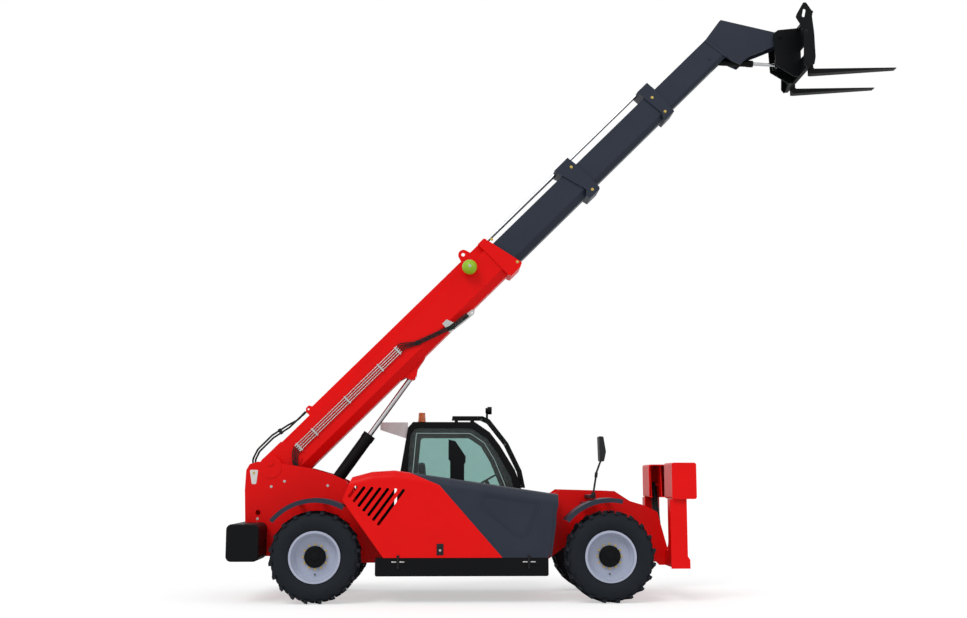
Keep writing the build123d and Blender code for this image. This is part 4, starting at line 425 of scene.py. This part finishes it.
# radius, then distance out along the axle
HUB_COVER = ((0.0, SUNK), (0.1385, SUNK), (0.1385, 0.080), (0.133, 0.087), (0.120, 0.0985),
             (0.106, 0.0985), (0.102, COVER_FACE), (0.060, COVER_FACE), (0.056, 0.110), (0.030, 0.114),
             (0.0, 0.115))
VALVE = ((0.0, -0.002), (0.011, -0.002), (0.010, 0.008), (0.005, 0.012), (0.005, 0.036), (0.0, 0.037))
for wheel in [b for b in frame["bodies"] if b.startswith("wheel_")]:
    hub = middle(wheel.replace("wheel", "rim"))
    outward = Vector((0, 1 if hub.y > 0 else -1, 0))
    cover = piece(wheel + "_hub_cover", lambda work: lathe(work, HUB_COVER, hub, outward), BLACK, wheel)
    smooth(cover, 25)

    def ring(count, radius, out, shift=0.0):
        return [hub + outward * out + Vector((radius * math.cos(turn), 0, radius * math.sin(turn)))
                for turn in (math.tau * (n + shift) / count for n in range(count))]

    heads(wheel + "_bolts", ring(BOLTS, BOLT_CIRCLE, DISC_FACE), outward, 0.0095, 0.016, YELLOW_ZINC, wheel)
    heads(wheel + "_cover_screws", ring(SCREWS, SCREW_CIRCLE, COVER_FACE, 0.5), outward, 0.0075, 0.006, BLACK,
          wheel)
    # tyre valve through the wheel disc
    stem = hub + outward * DISC_FACE + Vector((0, 0, -VALVE_DROP))
    valve = piece(wheel + "_valve", lambda work: lathe(work, VALVE, stem, outward, 16), HOSE, wheel)
    smooth(valve)

# ---------------------------------------------------------------- side latches
skirt_low, skirt_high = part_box("side_skirt")
LATCH_AT = (0.293, 1.974)    # ahead of the skirt's rear end
for number, along in enumerate(LATCH_AT):
    spot = Vector((skirt_low.x + along, skirt_low.y, skirt_high.z))

    def latch(work):
        slab(work, spot + Vector((0, -0.007, -0.055)), (0.026, 0.014, 0.150), 0.005)
        slab(work, spot + Vector((0, -0.012, 0.022)), (0.036, 0.024, 0.020), 0.006)
        slab(work, spot + Vector((0, -0.010, -0.125)), (0.032, 0.020, 0.030), 0.006)

    def handle(work):
        for end in (-1, 1):
            slab(work, spot + Vector((end * 0.052, -0.018, -0.052)), (0.066, 0.016, 0.018), 0.006)
            slab(work, spot + Vector((end * 0.078, -0.009, -0.052)), (0.012, 0.018, 0.012), 0.004)

    smooth(piece(f"latch_strap_{number}", latch, HOSE, "chassis"))
    smooth(piece(f"latch_handle_{number}", handle, ZINC, "chassis"))

# ----------------------------------------------------------------- hood's lock
LOCK_AHEAD, LOCK_UP = 1.603, 0.105    # ahead of the rear axle, above the hood's lower edge
BARREL = ((0.0, 0.0), (0.016, 0.0), (0.016, 0.010), (0.013, 0.013), (0.005, 0.013), (0.004, 0.011),
          (0.0, 0.011))
hood_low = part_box("hood_rear")[0]
lock = Vector((REAR_AXLE + LOCK_AHEAD, hood_low.y, hood_low.z + LOCK_UP))


def lock_plate(work):
    slab(work, lock + Vector((0, -0.003, 0)), (0.088, 0.012, 0.145), 0.004)
    slab(work, lock + Vector((0, -0.007, 0.045)), (0.060, 0.010, 0.030), 0.004)


smooth(piece("hood_lock_plate", lock_plate, BLACK_PLASTIC, "engine_hood"))
barrel_at = lock + Vector((0, -0.008, -0.012))
smooth(piece("hood_lock_barrel", lambda work: lathe(work, BARREL, barrel_at, RIGHT, 32), ZINC, "engine_hood"), 30)

# -------------------------------------------------------- tower's bolts and plate
TOWER_FACE = 0.365           # outer face of the main plates, from the middle plane
# ahead of the rear axle, then up
TOWER_BOLTS = ((-0.494, 1.549), (-0.669, 1.479), (0.087, 1.491), (-0.843, 1.052))
PLATE_CORNERS = ((-0.962, 1.702), (-0.850, 1.702), (-0.872, 1.512), (-0.932, 1.512))
PLATE_THICK = 0.003
STUD = (-0.906, 1.660)
for name, facing in (("right", RIGHT), ("left", LEFT)):
    heads(f"tower_bolts_{name}", [on_machine(x, facing[1] * TOWER_FACE, z) for x, z in TOWER_BOLTS], facing,
          0.012, 0.009, ZINC, "chassis")


def blank_plate(work):
    """A blank plate, wider at its top."""
    lower, upper = ([work.verts.new(on_machine(x, -TOWER_FACE - out, z)) for x, z in PLATE_CORNERS]
                    for out in (0.0, PLATE_THICK))
    work.faces.new(lower[::-1])
    work.faces.new(upper)
    for n in range(4):
        work.faces.new((lower[n], lower[(n + 1) % 4], upper[(n + 1) % 4], upper[n]))
    upright = [e for e in work.edges if abs(e.verts[0].co.y - e.verts[1].co.y) > 0.001]
    bmesh.ops.bevel(work, geom=upright, offset=0.018, segments=5, affect="EDGES", profile=0.5)


piece("tower_plate", blank_plate, WHITE_PLATE, "chassis")
heads("tower_plate_stud", [on_machine(STUD[0], -TOWER_FACE - PLATE_THICK, STUD[1])], RIGHT, 0.012, 0.006,
      YELLOW_ZINC, "chassis", 24)

# ---------------------------------------------------------- boom's small fittings
BASE_HALF = 0.222            # half the width of the boom base, and how far out its pipes run
PIPES = (-0.060, -0.092, -0.124, -0.156)    # above the pivot's line
PIPE_ENDS = (0.395, 2.290)   # along it
NUT = ((0.0, -0.022), (0.0095, -0.022), (0.0120, -0.018), (0.0120, 0.010), (0.0098, 0.012), (0.0098, 0.028),
       (0.0, 0.028))


def pipe_nuts(work):
    for above in PIPES:
        for along in PIPE_ENDS:
            lathe(work, NUT, on_boom(along, above, -BASE_HALF), BOOM_AXIS, 12)


smooth(piece("pipe_nuts", pipe_nuts, ZINC, "boom"), 30)
# each collar's body, its outer face, and its bolts along and above the pivot's line
COLLARS = (
    ("base_collar", "boom", BASE_HALF, ((4.320, 0.090), (4.350, -0.390))),
    ("collar_2", "second_section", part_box("boom_section_2")[1].y, ((5.867, 0.039), (5.850, -0.400))),
    ("collar_3", "third_section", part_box("boom_section_3")[1].y, ((7.435, -0.056), (7.420, -0.330))))
for name, body, face, spots in COLLARS:
    for side, facing in (("right", RIGHT), ("left", LEFT)):
        centres = [on_boom(along, above, facing[1] * face) for along, above in spots]
        heads(f"{name}_bolts_{side}", centres, facing, 0.014, 0.010, YELLOW_ZINC, body)
ball = middle("accumulator")
ball_tip = Vector((ball.x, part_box("accumulator")[0].y, ball.z))
heads("accumulator_nut", [ball_tip], RIGHT, 0.014, 0.004, ZINC, "boom")

# ------------------------------------------------------------------------ seat
seat_low, seat_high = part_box("seat")
PUFF = 0.018                 # how far a pad's crown stands out
CHANNEL_AT, CHANNEL_WIDE, CHANNEL_DEEP = 0.55, 0.06, 0.35    # in half widths, then in crowns
CORNER_PULL = 0.06
FACE = 0.95                  # past this share of the half size a point is on the pad's face


def pad(name, low, high):
    """A stuffed pad between two corners: crowned faces, drawn in corners and two sewn channels."""
    def form(work):
        bmesh.ops.create_cube(work, size=1.0)
        bmesh.ops.subdivide_edges(work, edges=work.edges, cuts=9, use_grid_fill=True)
        size, centre = high - low, (low + high) / 2
        for v in work.verts:
            x, y, z = (2 * c for c in v.co)
            crown = (1 - x * x) * (1 - y * y) if abs(z) >= abs(x) else (1 - z * z) * (1 - y * y)
            pull = 1 - CORNER_PULL * (x * x * y * y + y * y * z * z)
            groove = CHANNEL_DEEP * math.exp(-((abs(y) - CHANNEL_AT) / CHANNEL_WIDE) ** 2)
            v.co = Vector((x * pull, y * pull, z * pull)) * 0.5
            v.co = Vector((v.co.x * size.x, v.co.y * size.y, v.co.z * size.z)) + centre
            if z > FACE:
                v.co.z += PUFF * (crown - groove)
            if x > FACE:
                v.co.x += PUFF * (crown - groove)
    made = piece(name, form, CLOTH, "chassis")
    soften = made.modifiers.new("soften", "SUBSURF")
    soften.levels = soften.render_levels = 2
    smooth(made, 180)
    return made


cushion = pad("seat_cushion", Vector((seat_low.x + 0.06, seat_low.y + 0.02, seat_low.z + 0.002)),
              Vector((seat_high.x - 0.02, seat_high.y - 0.02, seat_low.z + 0.085)))
pad("seat_back", Vector((seat_low.x + 0.01, seat_low.y + 0.03, seat_low.z + 0.115)),
    Vector((seat_low.x + 0.11, seat_high.y - 0.03, seat_high.z - 0.02)))
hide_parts("seat")

# ------------------------------------------------------------- floor and light
FLOOR_SHARE, FLOOR_LIFT = 0.25, 2.0    # how much of the floor's look is backdrop, and how bright that is
SKY_LIGHT, SKY_SEEN = 0.5, 1.0         # the sky's strength as a light, and as a backdrop or reflection


def seen_rays(tree, *kinds):
    """1 where a ray is one of these kinds, otherwise 0."""
    rays = add(tree, "ShaderNodeLightPath")
    total = rays.outputs[kinds[0]]
    for kind in kinds[1:]:
        total = add(tree, "ShaderNodeMath", {"operation": "ADD", "use_clamp": True}, i0=total,
                    i1=rays.outputs[kind]).outputs[0]
    return total


def stage_material(name, colour, share, lift):
    """Matt floor paint. Camera rays see a share of the backdrop's white in it, with its shadow kept."""
    material, tree, shader, _ = new_material(name)
    shader.inputs["Base Color"].default_value = linear(colour)
    shader.inputs["Roughness"].default_value = 1.0
    shader.inputs["Specular IOR Level"].default_value = 0.0
    direct = seen_rays(tree, "Is Camera Ray", "Is Transmission Ray")
    part = add(tree, "ShaderNodeMath", {"operation": "MULTIPLY"}, i0=direct, i1=share).outputs[0]
    shine = add(tree, "ShaderNodeEmission", None, Color=linear("ffffff"), Strength=lift).outputs[0]
    both = add(tree, "ShaderNodeMixShader", None, Fac=part, i1=shader.outputs[0], i2=shine).outputs[0]
    tree.links.new(both, tree.nodes["Material Output"].inputs["Surface"])
    return material


bpy.ops.mesh.primitive_plane_add(size=400, location=(0, 0, 0))
floor = bpy.context.object
floor.name = "floor"
floor.data.materials.append(stage_material("matt_floor_paint", "f4f4f4", FLOOR_SHARE, FLOOR_LIFT))

world = bpy.data.worlds.new("studio")
scene.world = world
world.use_nodes = True
sky = world.node_tree
sky.nodes.clear()
seen = seen_rays(sky, "Is Camera Ray", "Is Transmission Ray", "Is Glossy Ray")
plain, white = (add(sky, "ShaderNodeBackground", None, Color=linear("ffffff"), Strength=strength).outputs[0]
                for strength in (SKY_LIGHT, SKY_SEEN))
shown = add(sky, "ShaderNodeMixShader", None, Fac=seen, i1=plain, i2=white).outputs[0]
add(sky, "ShaderNodeOutputWorld", None, Surface=shown)


def sun(name, aim, strength, softness):
    """A wide, soft, even light that shines along aim."""
    lamp = bpy.data.lights.new(name, "SUN")
    lamp.energy, lamp.angle = strength, math.radians(softness)
    made = bpy.data.objects.new(name, lamp)
    scene.collection.objects.link(made)
    made.rotation_euler = Vector(aim).to_track_quat("-Z", "Y").to_euler()


sun("key", (0.5, 0.8, -0.95), 1.1, 30)
sun("fill", (-0.7, 0.6, -0.5), 0.35, 60)

# ---------------------------------------------------------------------- camera
SENSOR = 36.0
FOCAL = 45.7911              # millimetres on that sensor
STATION = (-1.8715, -17.17, 1.54)
RISE, SWING = 8.006, 2.006   # degrees up from level, and round towards +X
lens = bpy.data.cameras.new("view")
lens.sensor_width, lens.lens = SENSOR, FOCAL
camera = bpy.data.objects.new("view", lens)
scene.collection.objects.link(camera)
camera.location = STATION
camera.rotation_euler = (math.radians(90 + RISE), 0, -math.radians(SWING))
scene.camera = camera
scene.view_settings.view_transform = "Standard"
